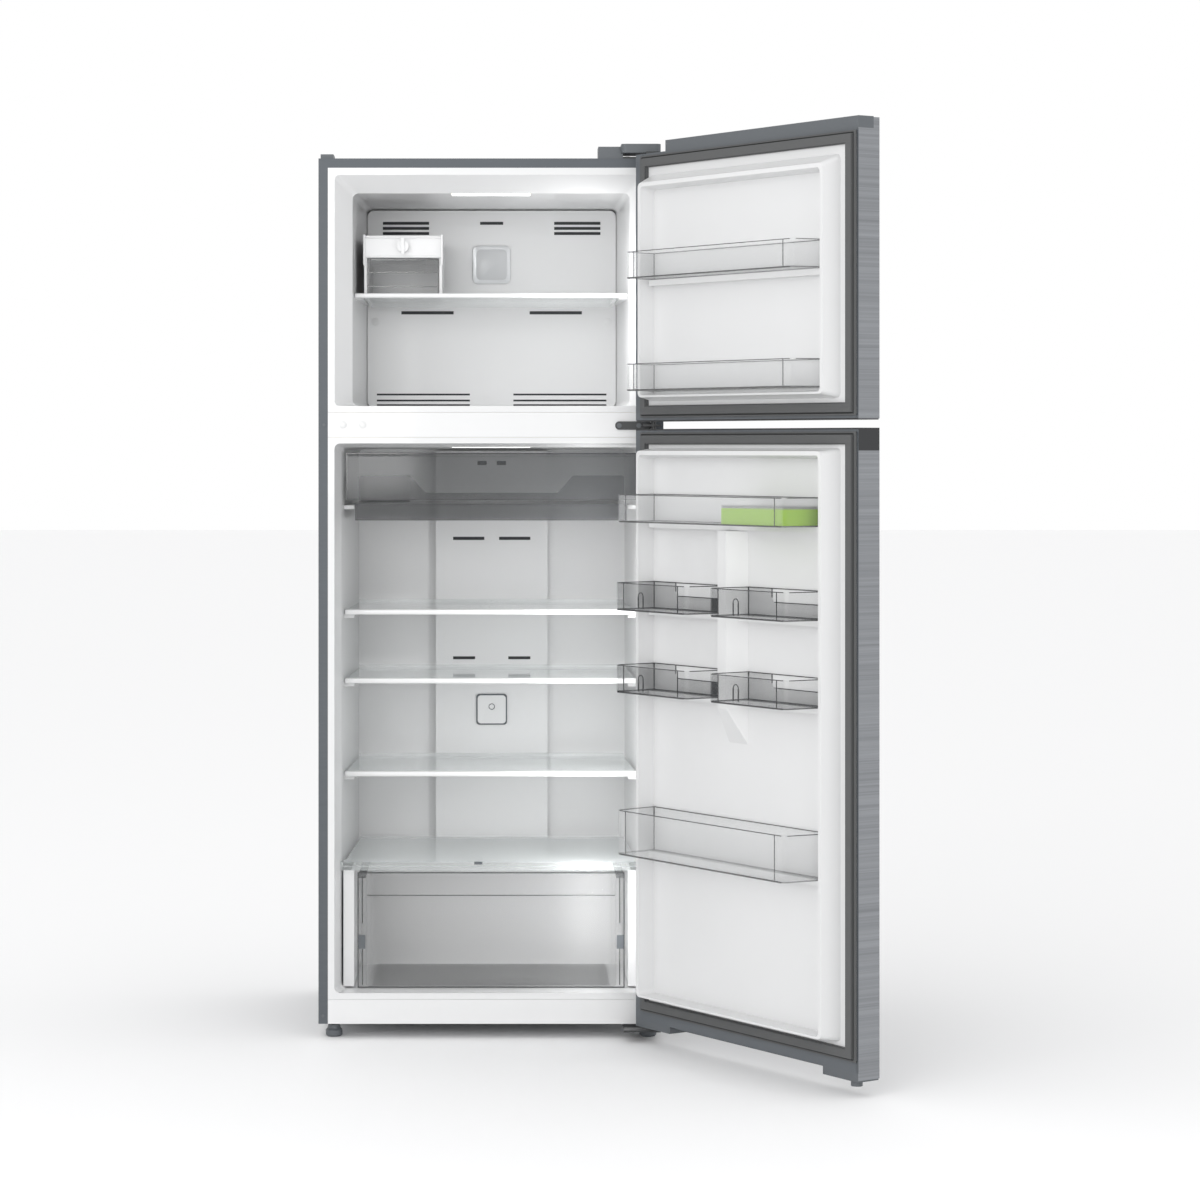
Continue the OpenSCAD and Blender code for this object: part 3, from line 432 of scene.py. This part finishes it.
class FRIDGE_OT_finishes(Operator):
    """Makes the materials and gives them to the frame's parts"""

    bl_idname = "fridge.finishes"
    bl_label = "Finishes"

    def execute(self, context):
        steel = context.scene.fridge_steel
        plastic = context.scene.fridge_plastic
        grain = steel.grain
        MATERIALS.update(
            shell=brushed("Cabinet steel", steel.shell, 0.25, 0.42, grain * 0.4),
            door=brushed("Door steel", steel.door, 0.55, 0.36, grain),
            edge_steel=moulded("Edge steel", shade(steel.shell, 1.1), 0.4, 0.1),
            zinc=brushed("Zinc sheet", (0.5, 0.51, 0.52), 0.8, 0.45, 0.06),
            foam=moulded("Foam", (0.80, 0.70, 0.42), 0.9),
            liner=moulded("Liner", plastic.liner, 0.3, 0.25),
            white=moulded("White trim", shade(plastic.liner, 1.03), 0.34, 0.15),
            black=moulded("Black trim", plastic.black, 0.42, 0.1, 0.15),
            grey=moulded("Grey trim", plastic.grey, 0.45, 0.0, 0.15),
            gasket=moulded("Gasket", plastic.gasket, 0.6, 0.0, 0.1),
            # The groove band: the gasket rubber darkened, painted shade in the groove.
            gasket_dark=moulded("Gasket groove painted shade", shade(plastic.gasket, 0.45), 0.7),
            clear=see_through("Clear plastic", plastic.clear, 0.045, 0.35),
            clear_thin=see_through("Thin clear plastic", shade(plastic.clear, 1.2), 0.025, 0.3),
            clear_edge=see_through("Clear plastic edge", shade(plastic.clear, 0.16), 0.62, 0.85),
            smoke=see_through("Smoked plastic", plastic.smoke, 0.04, 0.3),
            smoke_box=see_through("Smoked box", shade(plastic.smoke, 0.7), 0.36, 0.6),
            smoke_edge=see_through("Smoked plastic edge", shade(plastic.smoke, 0.5), 0.85, 0.95),
            glass=see_through("Shelf glass", (0.80, 0.84, 0.84), 0.16, 0.75),
            metal=brushed("Alloy", (0.62, 0.63, 0.64), 0.95, 0.32, 0.05),
            satin=moulded("Satin plate", (0.55, 0.56, 0.57), 0.35, 0.2),
            # A flat dark colour: painted shade for the air slots, which look dark inside.
            slot=moulded("Slot shadow", (0.045, 0.047, 0.05), 0.8),
            lamp=glowing("Lamp", (1.0, 1.0, 1.0), 1.1),
            lime=moulded("Lime plastic", plastic.lime, 0.35, 0.3),
            hinge=moulded("Hinge steel", (0.02, 0.022, 0.024), 0.35, 0.2),
        )
        own = {
            "cabinet_shell": "shell", "cabinet_foam": "foam", "freezer_door_skin": "door",
            "fridge_door_skin": "door", "fridge_door_grip": "black", "freezer_door_base_cap": "black",
            "freezer_shelf": "glass", "ice_bin": "clear_thin", "chiller_flap": "smoke_box",
            "chiller_tray": "smoke_box",
        }
        by_slot = {
            "steel_shell": "shell", "steel_door": "door", "zinc": "zinc", "foam": "foam", "liner": "liner",
            "trim_white": "white", "black": "black", "grey": "grey", "clear": "clear", "smoke": "smoke",
            "shelf_glass": "glass", "gasket": "gasket", "alu": "metal", "pressed_black": "black",
            "hinge_steel": "hinge", "lamp": "lamp", "lime": "lime",
        }
        for part in frame["record"]["subparts"]:
            node = frame["nodes"][part["node"]]
            material = MATERIALS[own.get(part["node"], by_slot[part["material_slot"]])]
            for index in range(len(node.data.materials)):
                node.data.materials[index] = material
            if not node.data.materials:
                node.data.materials.append(material)
        return {"FINISHED"}


def tub(name, low, high, wall, corner, look, taper=0.96):
    """An open bin with rounded front corners, a rounded bottom edge and a thin rim."""
    edge = look + "_edge"
    piece = block(name, low, high)
    middle = (low + high) / 2
    pick_faces(piece, looks_back)
    bpy.ops.transform.resize(value=(taper, 1, 1), center_override=(middle.x, high.y, middle.z))
    close_edit()
    bevel_edges(piece, lambda a, b: near(a.y, high.y) and near(b.y, high.y) and not near(a.z, b.z), corner, 5)
    bevel_edges(piece, lambda a, b: near(a.z, low.z) and near(b.z, low.z), 3 * MM, 2)
    pick_faces(piece, looks_up)
    bpy.ops.mesh.inset(thickness=wall)
    bpy.ops.mesh.extrude_region_move(TRANSFORM_OT_translate={"value": (0, 0, low.z - high.z + wall)})
    close_edit()
    for material in (MATERIALS[look], MATERIALS[edge]):
        piece.data.materials.append(material)
    for face in piece.data.polygons:
        at_bottom = face.center.z < low.z + 3 * MM and abs(face.normal.z) < 0.98
        at_rim = face.center.z > high.z - 0.1 * MM and looks_up(face)
        face.material_index = 1 if at_bottom or at_rim else 0
    make_active(piece)
    bpy.ops.object.shade_smooth_by_angle(angle=SMOOTH)
    return piece


def coated(pieces, material):
    """Gives the same material to each piece."""
    for piece in pieces:
        piece.data.materials.append(material)
    return pieces


def outline(low, high, corner, material):
    """Thin bars where a bin's rim, ends and lower edge show dark."""
    line = 1.6 * MM
    seam = 28 * MM
    shift = (high.x - low.x) * 0.02
    left, right = low.x + shift, high.x - shift
    bars = (
        ((left + corner, high.y - line, high.z - line), (right - corner, high.y + 0.4 * MM, high.z)),
        ((left + corner, high.y - line, low.z), (right - corner, high.y + 0.6 * MM, low.z + 1.6 * line)),
        ((low.x, low.y, high.z - line), (high.x, low.y + line, high.z)),
        ((low.x, low.y, low.z), (low.x + line, low.y + line, high.z)),
        ((high.x - line, low.y, low.z), (high.x, low.y + line, high.z)),
        ((left + seam, high.y - line, low.z + 3 * MM), (left + seam + 1 * MM, high.y, high.z)),
        ((right - seam - 1 * MM, high.y - line, low.z + 3 * MM), (right - seam, high.y, high.z)),
    )
    made = [block("bar", a, b) for a, b in bars]
    for start, stop in ((low.x, left), (high.x, right)):
        near_end = (start - line / 2, low.y, high.z - line)
        side = block("bar", near_end, (start + line / 2, high.y - corner, high.z))
        pick_faces(side, looks_back)
        bpy.ops.transform.translate(value=(stop - start, 0, 0))
        close_edit()
        made.append(side)
    return coated(made, material)


def step_place(low, high):
    """How far along and how high the back wall of a half bin steps down."""
    return low.x + 0.7 * (high.x - low.x), low.z + 0.52 * (high.z - low.z)


def stepped_back(piece, low, high):
    """Cuts the back wall of a half bin down on the side away from the hinge, with a round corner."""
    knee, middle = step_place(low, high)
    foot = (low.x + 4 * MM, low.y - 2 * MM, middle)
    cutter = block("cutter", foot, (knee, low.y + 3 * MM, high.z + 4 * MM))
    bevel_edges(cutter, lambda a, b: level_with_y(a, b) and a.z < high.z, 9 * MM, 5)
    make_active(piece)
    cut = piece.modifiers.new("step", "BOOLEAN")
    cut.operation = "DIFFERENCE"
    cut.object = cutter
    bpy.ops.object.modifier_apply(modifier=cut.name)
    bpy.data.objects.remove(cutter)


def step_lines(low, high, material):
    """The dark edge of the cut-down back wall and the arched bottle finger inside a half bin."""
    line = 1.4 * MM
    knee, middle = step_place(low, high)
    finger = high.x - 0.2 * (high.x - low.x)
    reach = high.y - 32 * MM
    foot, top = low.z + 3 * MM, low.z + 27 * MM
    bars = (
        ((low.x + 5 * MM, low.y, middle - line), (knee - 8 * MM, low.y + line, middle)),
        ((knee - 0.5 * line, low.y, middle + 8 * MM), (knee + 0.5 * line, low.y + line, high.z)),
        ((finger - 9 * MM, reach, foot), (finger - 7 * MM, reach + 2 * MM, top)),
        ((finger + 7 * MM, reach, foot), (finger + 9 * MM, reach + 2 * MM, top)),
    )
    made = [block("bar", a, b) for a, b in bars]
    arch = ring((finger, reach + 1 * MM, top), major=8 * MM, minor=1 * MM, sides=24, round_sides=6)
    pick_faces(arch, lambda f: f.center.z < top - 1 * MM)
    bpy.ops.mesh.delete(type="FACE")
    close_edit()
    return coated(made + [arch], material)


class FRIDGE_OT_door_bins(Operator):
    """Makes the clear and the smoked bins of both doors"""

    bl_idname = "fridge.door_bins"
    bl_label = "Door bins"

    def execute(self, context):
        plastic = context.scene.fridge_plastic
        bins = {
            "freezer_bin_upper": "clear", "freezer_bin_lower": "clear", "fridge_bin_top": "clear",
            "half_bin_upper_left": "smoke", "half_bin_upper_right": "smoke",
            "half_bin_lower_left": "smoke", "half_bin_lower_right": "smoke", "bottle_bin": "clear",
        }
        for node, look in bins.items():
            low, high = shut_box(node)
            piece = tub(node + "_look", low, high, plastic.bin_wall, plastic.bin_corner, look)
            lines = outline(low, high, plastic.bin_corner, MATERIALS[look + "_edge"])
            if look == "smoke":
                stepped_back(piece, low, high)
                lines += step_lines(low, high, MATERIALS["smoke_edge"])
            piece = join(piece.name, [piece] + lines)
            place(piece, node, on_door=True)
            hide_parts(node)
        return {"FINISHED"}


def rim_frame(low, high, width, material, parts, depth_low, depth_high):
    """Four bars round an upright rectangle, added to parts."""
    sides = (
        ((low.x, low.z), (high.x, low.z + width)),
        ((low.x, high.z - width), (high.x, high.z)),
        ((low.x, low.z + width), (low.x + width, high.z - width)),
        ((high.x - width, low.z + width), (high.x, high.z - width)),
    )
    bars = [block("bar", (a[0], depth_low, a[1]), (b[0], depth_high, b[1])) for a, b in sides]
    parts.extend(coated(bars, material))


class FRIDGE_OT_gaskets(Operator):
    """Makes the ribbed magnetic gaskets"""

    bl_idname = "fridge.gaskets"
    bl_label = "Gaskets"

    def execute(self, context):
        for door in ("freezer_door", "fridge_door"):
            low, high = shut_box(door + "_gasket")
            parts = []
            # Bands inward from the outer edge: start, stop, height share, finish; the second band is the darkened
            # groove with painted shade.
            bands = ((0, 3, 0.45, "gasket"), (3, 6, 0.2, "gasket_dark"), (6, 22, 1.0, "gasket"),
                     (22, 24, 0.6, "gasket"))
            for start, stop, rise, look in bands:
                inset = Vector((start * MM, 0, start * MM))
                top = low.y + (high.y - low.y) * rise
                rim_frame(low + inset, high - inset, (stop - start) * MM, MATERIALS[look], parts, low.y, top)
            outer_low, outer_high = shut_box(door + "_skin")
            face = outer_high.y + 0.5 * MM
            edge = 0.4 * MM
            foot = max(outer_low.z + 1 * MM, low.z - 20 * MM)
            strips = (
                ((outer_low.x, foot), (low.x + 2 * MM, high.z + 4 * MM)),
                ((high.x - 2 * MM, foot), (outer_high.x - 1 * MM, high.z + 4 * MM)),
                ((low.x, foot), (high.x, low.z + 2 * MM)),
                ((low.x, high.z - 2 * MM), (high.x, high.z + 4 * MM)),
            )
            for near_corner, far_corner in strips:
                parts.append(dressed("strip", (near_corner[0], face - edge, near_corner[1]),
                                     (far_corner[0], face, far_corner[1]), "edge_steel"))
            piece = join(door + "_gasket_look", parts)
            place(piece, door, on_door=True)
            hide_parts(door + "_gasket")
        return {"FINISHED"}


class FRIDGE_OT_vents(Operator):
    """Makes thin dark sheets behind the air slots, painted shade where the slots look dark"""

    bl_idname = "fridge.vents"
    bl_label = "Vent slot shade"

    def execute(self, context):
        low, high = node_box("evaporator_cover")
        shelf = node_box("freezer_shelf")[1].z
        behind = low.y + 5.5 * MM
        rows = (
            ((135, 235), high.z - 53 * MM, high.z - 23 * MM),
            ((82, 195), shelf - 31 * MM, shelf - 20 * MM),
            ((47, 248), low.z + 2 * MM, low.z + 32 * MM),
        )
        parts = []
        # Thin dark sheets just behind each row of slots: painted shade seen through the slots.
        for (near_x, far_x), bottom, top in rows:
            for side in (-1, 1):
                ends = sorted((side * near_x * MM, side * far_x * MM))
                parts.append(block("back", (ends[0], behind, bottom), (ends[1], behind + 1 * MM, top)))
        half = 25 * MM
        top = high.z - 22 * MM
        parts.append(block("back", (-half, behind, top - 10 * MM), (half, behind + 1 * MM, top)))
        place(join("freezer_slot_painted_shade", parts), "cabinet", MATERIALS["slot"])

        # One dark sheet behind the duct panel's slots: painted shade seen through them.
        low, high = node_box("duct_panel")
        behind = low.y + 5.7 * MM
        backs = block("fridge_slot_painted_shade", (-90 * MM, behind, low.z + 60 * MM),
                      (90 * MM, behind + 1 * MM, high.z - 12 * MM))
        place(backs, "cabinet", MATERIALS["slot"])
        return {"FINISHED"}


def thin_tub(name, low, high, corner, look):
    """An open tub of a single thin sheet, with rounded upright and lower edges."""
    piece = block(name, low, high)
    bevel_edges(piece, upright, width=corner, segments=5)
    bevel_edges(piece, lambda a, b: near(a.z, low.z) and near(b.z, low.z), min(corner, 6 * MM), 3)
    pick_faces(piece, looks_up)
    bpy.ops.mesh.delete(type="FACE")
    close_edit()
    piece.data.materials.append(MATERIALS[look])
    make_active(piece)
    bpy.ops.object.shade_smooth_by_angle(angle=SMOOTH)
    return piece


def floor_ribs(low, high, floor, count):
    """Evenly spaced ribs across the floor of the drawer."""
    margin, half = 14 * MM, 0.7 * MM
    first, last = low.y + 16 * MM, high.y - 16 * MM
    ribs = []
    for index in range(count):
        y = first + index * (last - first) / (count - 1)
        start = (low.x + margin, y - half, floor)
        ribs.append(dressed("rib", start, (high.x - margin, y + half, floor + 1.2 * MM), "clear"))
    return ribs


def drawer_side(side, low, high, body_x, body_back):
    """The dark lines, the grip and the flange at one side of the drawer."""
    outer = side * (high.x - 2 * MM)
    front = low.y
    lines = sorted((outer - side * 9 * MM, outer - side * 7 * MM))
    grip = sorted((outer - side * 14 * MM, outer))
    flange = sorted((side * (body_x - 1 * MM), side * high.x))
    made = []
    for bottom, top in ((132, 228), (6, 84)):
        foot = (lines[0], front + 1.6 * MM, low.z + bottom * MM)
        made.append(dressed("line", foot, (lines[1], front + 2.2 * MM, low.z + top * MM), "smoke_edge"))
    made.append(dressed("grip", (grip[0], front + 0.3 * MM, low.z + 80 * MM),
                        (grip[1], front + 3 * MM, low.z + 108 * MM), "grey"))
    made.append(dressed("flange", (flange[0], front + 4 * MM, high.z - 12 * MM),
                        (flange[1], body_back - 15 * MM, high.z - 9.5 * MM), "clear_edge"))
    return made


class FRIDGE_OT_crisper(Operator):
    """Makes the vegetable drawer with its ribbed floor, framed front and side grips"""

    bl_idname = "fridge.crisper"
    bl_label = "Vegetable drawer"

    def execute(self, context):
        low, high = node_box("crisper_drawer")
        front = low.y
        body_low = Vector((low.x + 16 * MM, front + 6 * MM, low.z + 0.5 * MM))
        body_high = Vector((high.x - 16 * MM, high.y - 1 * MM, high.z - 6 * MM))
        parts = [thin_tub("tray", body_low, body_high, corner=14 * MM, look="clear_thin")]
        parts += floor_ribs(body_low, body_high, floor=low.z + 3 * MM, count=18)
        panel = dressed("front", (low.x, front + 2 * MM, low.z),
                        (high.x, front + 4.2 * MM, high.z), "clear_thin")
        bevel_edges(panel, level_with_y, width=8 * MM, segments=4)
        parts.append(panel)
        rim_frame(low, high, 2.2 * MM, MATERIALS["smoke_edge"], parts, front + 1.8 * MM, front + 5 * MM)
        for side in (-1, 1):
            parts += drawer_side(side, low, high, body_high.x, body_high.y)
        parts.append(dressed("band", (low.x + 20 * MM, front + 1.2 * MM, high.z - 48 * MM),
                             (high.x - 20 * MM, front + 2 * MM, high.z - 46 * MM), "clear_edge"))
        piece = join("crisper_drawer_look", parts)
        place(piece, "crisper_drawer")
        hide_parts("crisper_drawer")
        return {"FINISHED"}


def rounded_plate(half, front, back, middle_z, look, corner, segments):
    """A square plate with rounded corners, upright on the cabinet's middle line."""
    piece = dressed("plate", (-half, front, middle_z - half), (half, back, middle_z + half), look)
    bevel_edges(piece, level_with_y, corner, segments)
    return piece


def soft_join(name, pieces, width=0.5 * MM):
    """Makes one piece of several and softens its edges."""
    piece = join(name, pieces)
    soften(piece, width)
    return piece


class FRIDGE_OT_plates(Operator):
    """Makes the two framed plates on the back walls and the small screw caps"""

    bl_idname = "fridge.plates"
    bl_label = "Plates and caps"

    def execute(self, context):
        low, high = node_box("evaporator_cover")
        front = low.y
        middle_z = high.z - 117 * MM
        half = 41 * MM
        inner = 33 * MM
        plate = rounded_plate(half, front - 2.5 * MM, front + 0.5 * MM, middle_z, "metal",
                              corner=12 * MM, segments=6)
        field = rounded_plate(inner, front - 3.6 * MM, front - 2 * MM, middle_z, "satin",
                              corner=10 * MM, segments=6)
        place(soft_join("freezer_plate", [plate, field]), "cabinet")

        shelf = node_box("freezer_shelf")[1].z
        cap_x, cap_z = 250.6 * MM, shelf - 45 * MM
        caps = [disc("cap", (x, front + 1.2 * MM, cap_z), 8.5 * MM, 2.4 * MM) for x in (-cap_x, cap_x)]
        place(soft_join("screw_caps", caps), "cabinet", MATERIALS["white"])
        beam_z = node_box("front_rails")[1].z - 25 * MM
        plugs = [disc("plug", (x, -1.4 * MM, beam_z), 6.6 * MM, 2.4 * MM) for x in (-0.3, -0.26)]
        place(soft_join("beam_plugs", plugs), "cabinet", MATERIALS["white"])

        low, high = node_box("duct_panel")
        front = low.y
        middle_z = node_box("shelf_middle")[1].z - 98 * MM
        half = 33.5 * MM
        parts = []
        for width, proud, look in ((half, 2.4, "grey"), (half - 3 * MM, 3.0, "white")):
            parts.append(rounded_plate(width, front - proud * MM, front + 1 * MM, middle_z, look,
                                       corner=7 * MM, segments=5))
        centre = (0, front - 3.2 * MM, middle_z + 6 * MM)
        mark = ring(centre, major=6 * MM, minor=0.8 * MM, sides=32, round_sides=8)
        mark.data.materials.append(MATERIALS["grey"])
        parts.append(mark)
        place(join("fridge_plate", parts), "cabinet")
        return {"FINISHED"}


class FRIDGE_OT_ice_maker(Operator):
    """Makes the ice maker's end pillars, front rail and bin marks"""

    bl_idname = "fridge.ice_maker"
    bl_label = "Ice maker"

    def execute(self, context):
        low, high = node_box("ice_maker_frame")
        bin_low, bin_high = node_box("ice_bin")
        parts = []
        for x in (low.x, high.x):
            foot = (x - 2 * MM, low.y - 6 * MM, bin_high.z - 12 * MM)
            parts.append(block("pillar", foot, (x + 2 * MM, low.y + 6 * MM, high.z + 2 * MM)))
        for z in (bin_high.z + 5 * MM, high.z - 5 * MM):
            end = (low.x, low.y - 2.5 * MM, z - 1.5 * MM)
            parts.append(block("rail", end, (high.x, low.y + 2 * MM, z + 1.5 * MM)))
        place(soft_join("ice_maker_trim", parts, 0.8 * MM), "freezer_shelf", MATERIALS["white"])
        parts = []
        face = bin_low.y
        rim_frame(bin_low, bin_high, 1.6 * MM, MATERIALS["clear_edge"], parts, face - 0.4 * MM, face + 1 * MM)
        for z_share in (0.2, 0.62):
            z = bin_low.z + (bin_high.z - bin_low.z) * z_share
            start = (bin_low.x + 3 * MM, face - 0.8 * MM, z)
            parts.append(dressed("line", start, (bin_high.x - 3 * MM, face, z + 1.4 * MM), "clear_edge"))
        parts.append(thin_tub("bin", bin_low, bin_high, corner=6 * MM, look="clear_thin"))
        piece = join("ice_bin_look", parts)
        place(piece, "ice_bin")
        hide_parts("ice_bin")
        return {"FINISHED"}


class FRIDGE_OT_shelf_trims(Operator):
    """Makes the rounded bright front trims of the shelves"""

    bl_idname = "fridge.shelf_trims"
    bl_label = "Shelf trims"

    def execute(self, context):
        rows = {"shelf_upper": 9.5, "shelf_middle": 9.5, "shelf_lower": 9.5, "freezer_shelf": 8.0}
        for node, height in rows.items():
            low, high = node_box(node)
            top = high.z - (5 * MM if node != "freezer_shelf" else 0)
            trim = block(node + "_trim", (low.x - 0.3 * MM, low.y - 1.2 * MM, top - (height + 0.4) * MM),
                         (high.x + 0.3 * MM, low.y + 15 * MM, top + 0.6 * MM))
            soften(trim, 2.2 * MM, 3)
            place(trim, node, MATERIALS["white"])
        return {"FINISHED"}


class FRIDGE_OT_chiller(Operator):
    """Makes the dark outlines of the chiller's flap and tray"""

    bl_idname = "fridge.chiller"
    bl_label = "Chiller box"

    def execute(self, context):
        low, high = node_box("chiller_flap")
        parts = []
        rim_frame(low, high, 1.8 * MM, MATERIALS["smoke_edge"], parts, low.y - 0.6 * MM, low.y + 2.5 * MM)
        place(join("chiller_flap_rim", parts), "chiller_flap")
        low, high = node_box("chiller_tray")
        lip = low.z + 34 * MM
        half = high.x - 7 * MM
        parts = []
        corner_low, corner_high = Vector((-half, low.y, low.z)), Vector((half, low.y, lip))
        look = MATERIALS["smoke_edge"]
        rim_frame(corner_low, corner_high, 2 * MM, look, parts, low.y - 0.8 * MM, low.y + 2 * MM)
        parts.append(dressed("edge", (-half, high.y - 3.4 * MM, lip),
                             (-175 * MM, high.y - 2.6 * MM, high.z), "smoke_edge"))
        place(join("chiller_tray_rim", parts), "chiller_tray")
        return {"FINISHED"}


def area_lamp(scene, name, spot, target, power, size, tall=None):
    """A soft light that faces a target: square, or a strip where it is given a height."""
    lamp = bpy.data.lights.new(name, "AREA")
    lamp.energy = power
    lamp.size = size
    if tall:
        lamp.shape = "RECTANGLE"
        lamp.size_y = tall
    holder = bpy.data.objects.new(name, lamp)
    scene.collection.objects.link(holder)
    holder.location = spot
    holder.rotation_euler = (Vector(target) - Vector(spot)).to_track_quat("-Z", "Y").to_euler()
    return holder


class FRIDGE_OT_stage(Operator):
    """Sets the floor, the lights and the camera"""

    bl_idname = "fridge.stage"
    bl_label = "Stage"

    def execute(self, context):
        stage = context.scene.fridge_stage
        deselect()
        bpy.ops.mesh.primitive_plane_add(size=60, location=(0, 10, 0))
        floor = bpy.context.object
        floor.name = "floor"
        sheet = Sheet("Floor")
        sheet.set("Base Color", (0.93, 0.93, 0.935))
        sheet.set("Roughness", 0.75)
        floor.data.materials.append(sheet.material)

        world = bpy.data.worlds.new("Studio")
        context.scene.world = world
        world.use_nodes = True
        sky = world.node_tree.nodes["Background"]
        sky.inputs["Color"].default_value = (1, 1, 1, 1)
        sky.inputs["Strength"].default_value = stage.sky

        lights = (
            ("key", (-2.6, -4.6, 3.4), 2.6, 1.0),
            ("fill", (2.4, -5.2, 1.6), 2.2, 0.45),
            ("front", (-1.2, -6.3, 1.9), 1.8, 1.5),
        )
        for name, spot, size, share in lights:
            area_lamp(context.scene, name, spot, (0, 0, 0.95), stage.key * share, size)

        inside = (
            ("fridge_strip", (0.2, -0.02, 0.66), (0.16, 0.5, 0.66), 1.0, 2.0),
            ("freezer_strip", (0.2, -0.02, 1.49), (0.16, 0.4, 1.49), 0.3, 0.6),
        )
        for name, spot, target, tall, power in inside:
            strip = area_lamp(context.scene, name, spot, target, power, 0.03, tall)
            strip.visible_glossy = False

        lens = bpy.data.cameras.new("camera")
        lens.lens = stage.lens
        lens.sensor_width = 36
        lens.shift_x = stage.shift_x
        lens.shift_y = stage.shift_y
        holder = bpy.data.objects.new("camera", lens)
        context.scene.collection.objects.link(holder)
        holder.location = (stage.aside, -stage.distance, stage.height)
        holder.rotation_euler = (math.pi / 2, 0, 0)
        context.scene.camera = holder
        context.scene.view_settings.view_transform = "Standard"
        return {"FINISHED"}


class FRIDGE_PT_panel(Panel):
    """Lists the steps and their settings"""

    bl_idname = "FRIDGE_PT_panel"
    bl_label = "Refrigerator"
    bl_space_type = "VIEW_3D"
    bl_region_type = "UI"
    bl_category = "Refrigerator"

    def draw(self, context):
        for group in SETTINGS:
            settings = getattr(context.scene, group)
            for name in settings.__annotations__:
                self.layout.prop(settings, name)
        for step in STEPS:
            self.layout.operator(step.bl_idname)


SETTINGS = {"fridge_steel": SteelSettings, "fridge_plastic": PlasticSettings, "fridge_stage": StageSettings}
STEPS = (
    FRIDGE_OT_finishes,
    FRIDGE_OT_door_bins,
    FRIDGE_OT_gaskets,
    FRIDGE_OT_vents,
    FRIDGE_OT_plates,
    FRIDGE_OT_crisper,
    FRIDGE_OT_chiller,
    FRIDGE_OT_ice_maker,
    FRIDGE_OT_shelf_trims,
    FRIDGE_OT_stage,
)


def register():
    for settings in SETTINGS.values():
        bpy.utils.register_class(settings)
    for name, settings in SETTINGS.items():
        setattr(bpy.types.Scene, name, PointerProperty(type=settings))
    for step in STEPS:
        bpy.utils.register_class(step)
    bpy.utils.register_class(FRIDGE_PT_panel)


def unregister():
    bpy.utils.unregister_class(FRIDGE_PT_panel)
    for step in reversed(STEPS):
        bpy.utils.unregister_class(step)
    for name, settings in SETTINGS.items():
        delattr(bpy.types.Scene, name)
        bpy.utils.unregister_class(settings)


def main():
    register()
    for step in STEPS:
        group, name = step.bl_idname.split(".")
        getattr(getattr(bpy.ops, group), name)()


if __name__ == "__main__":
    main()
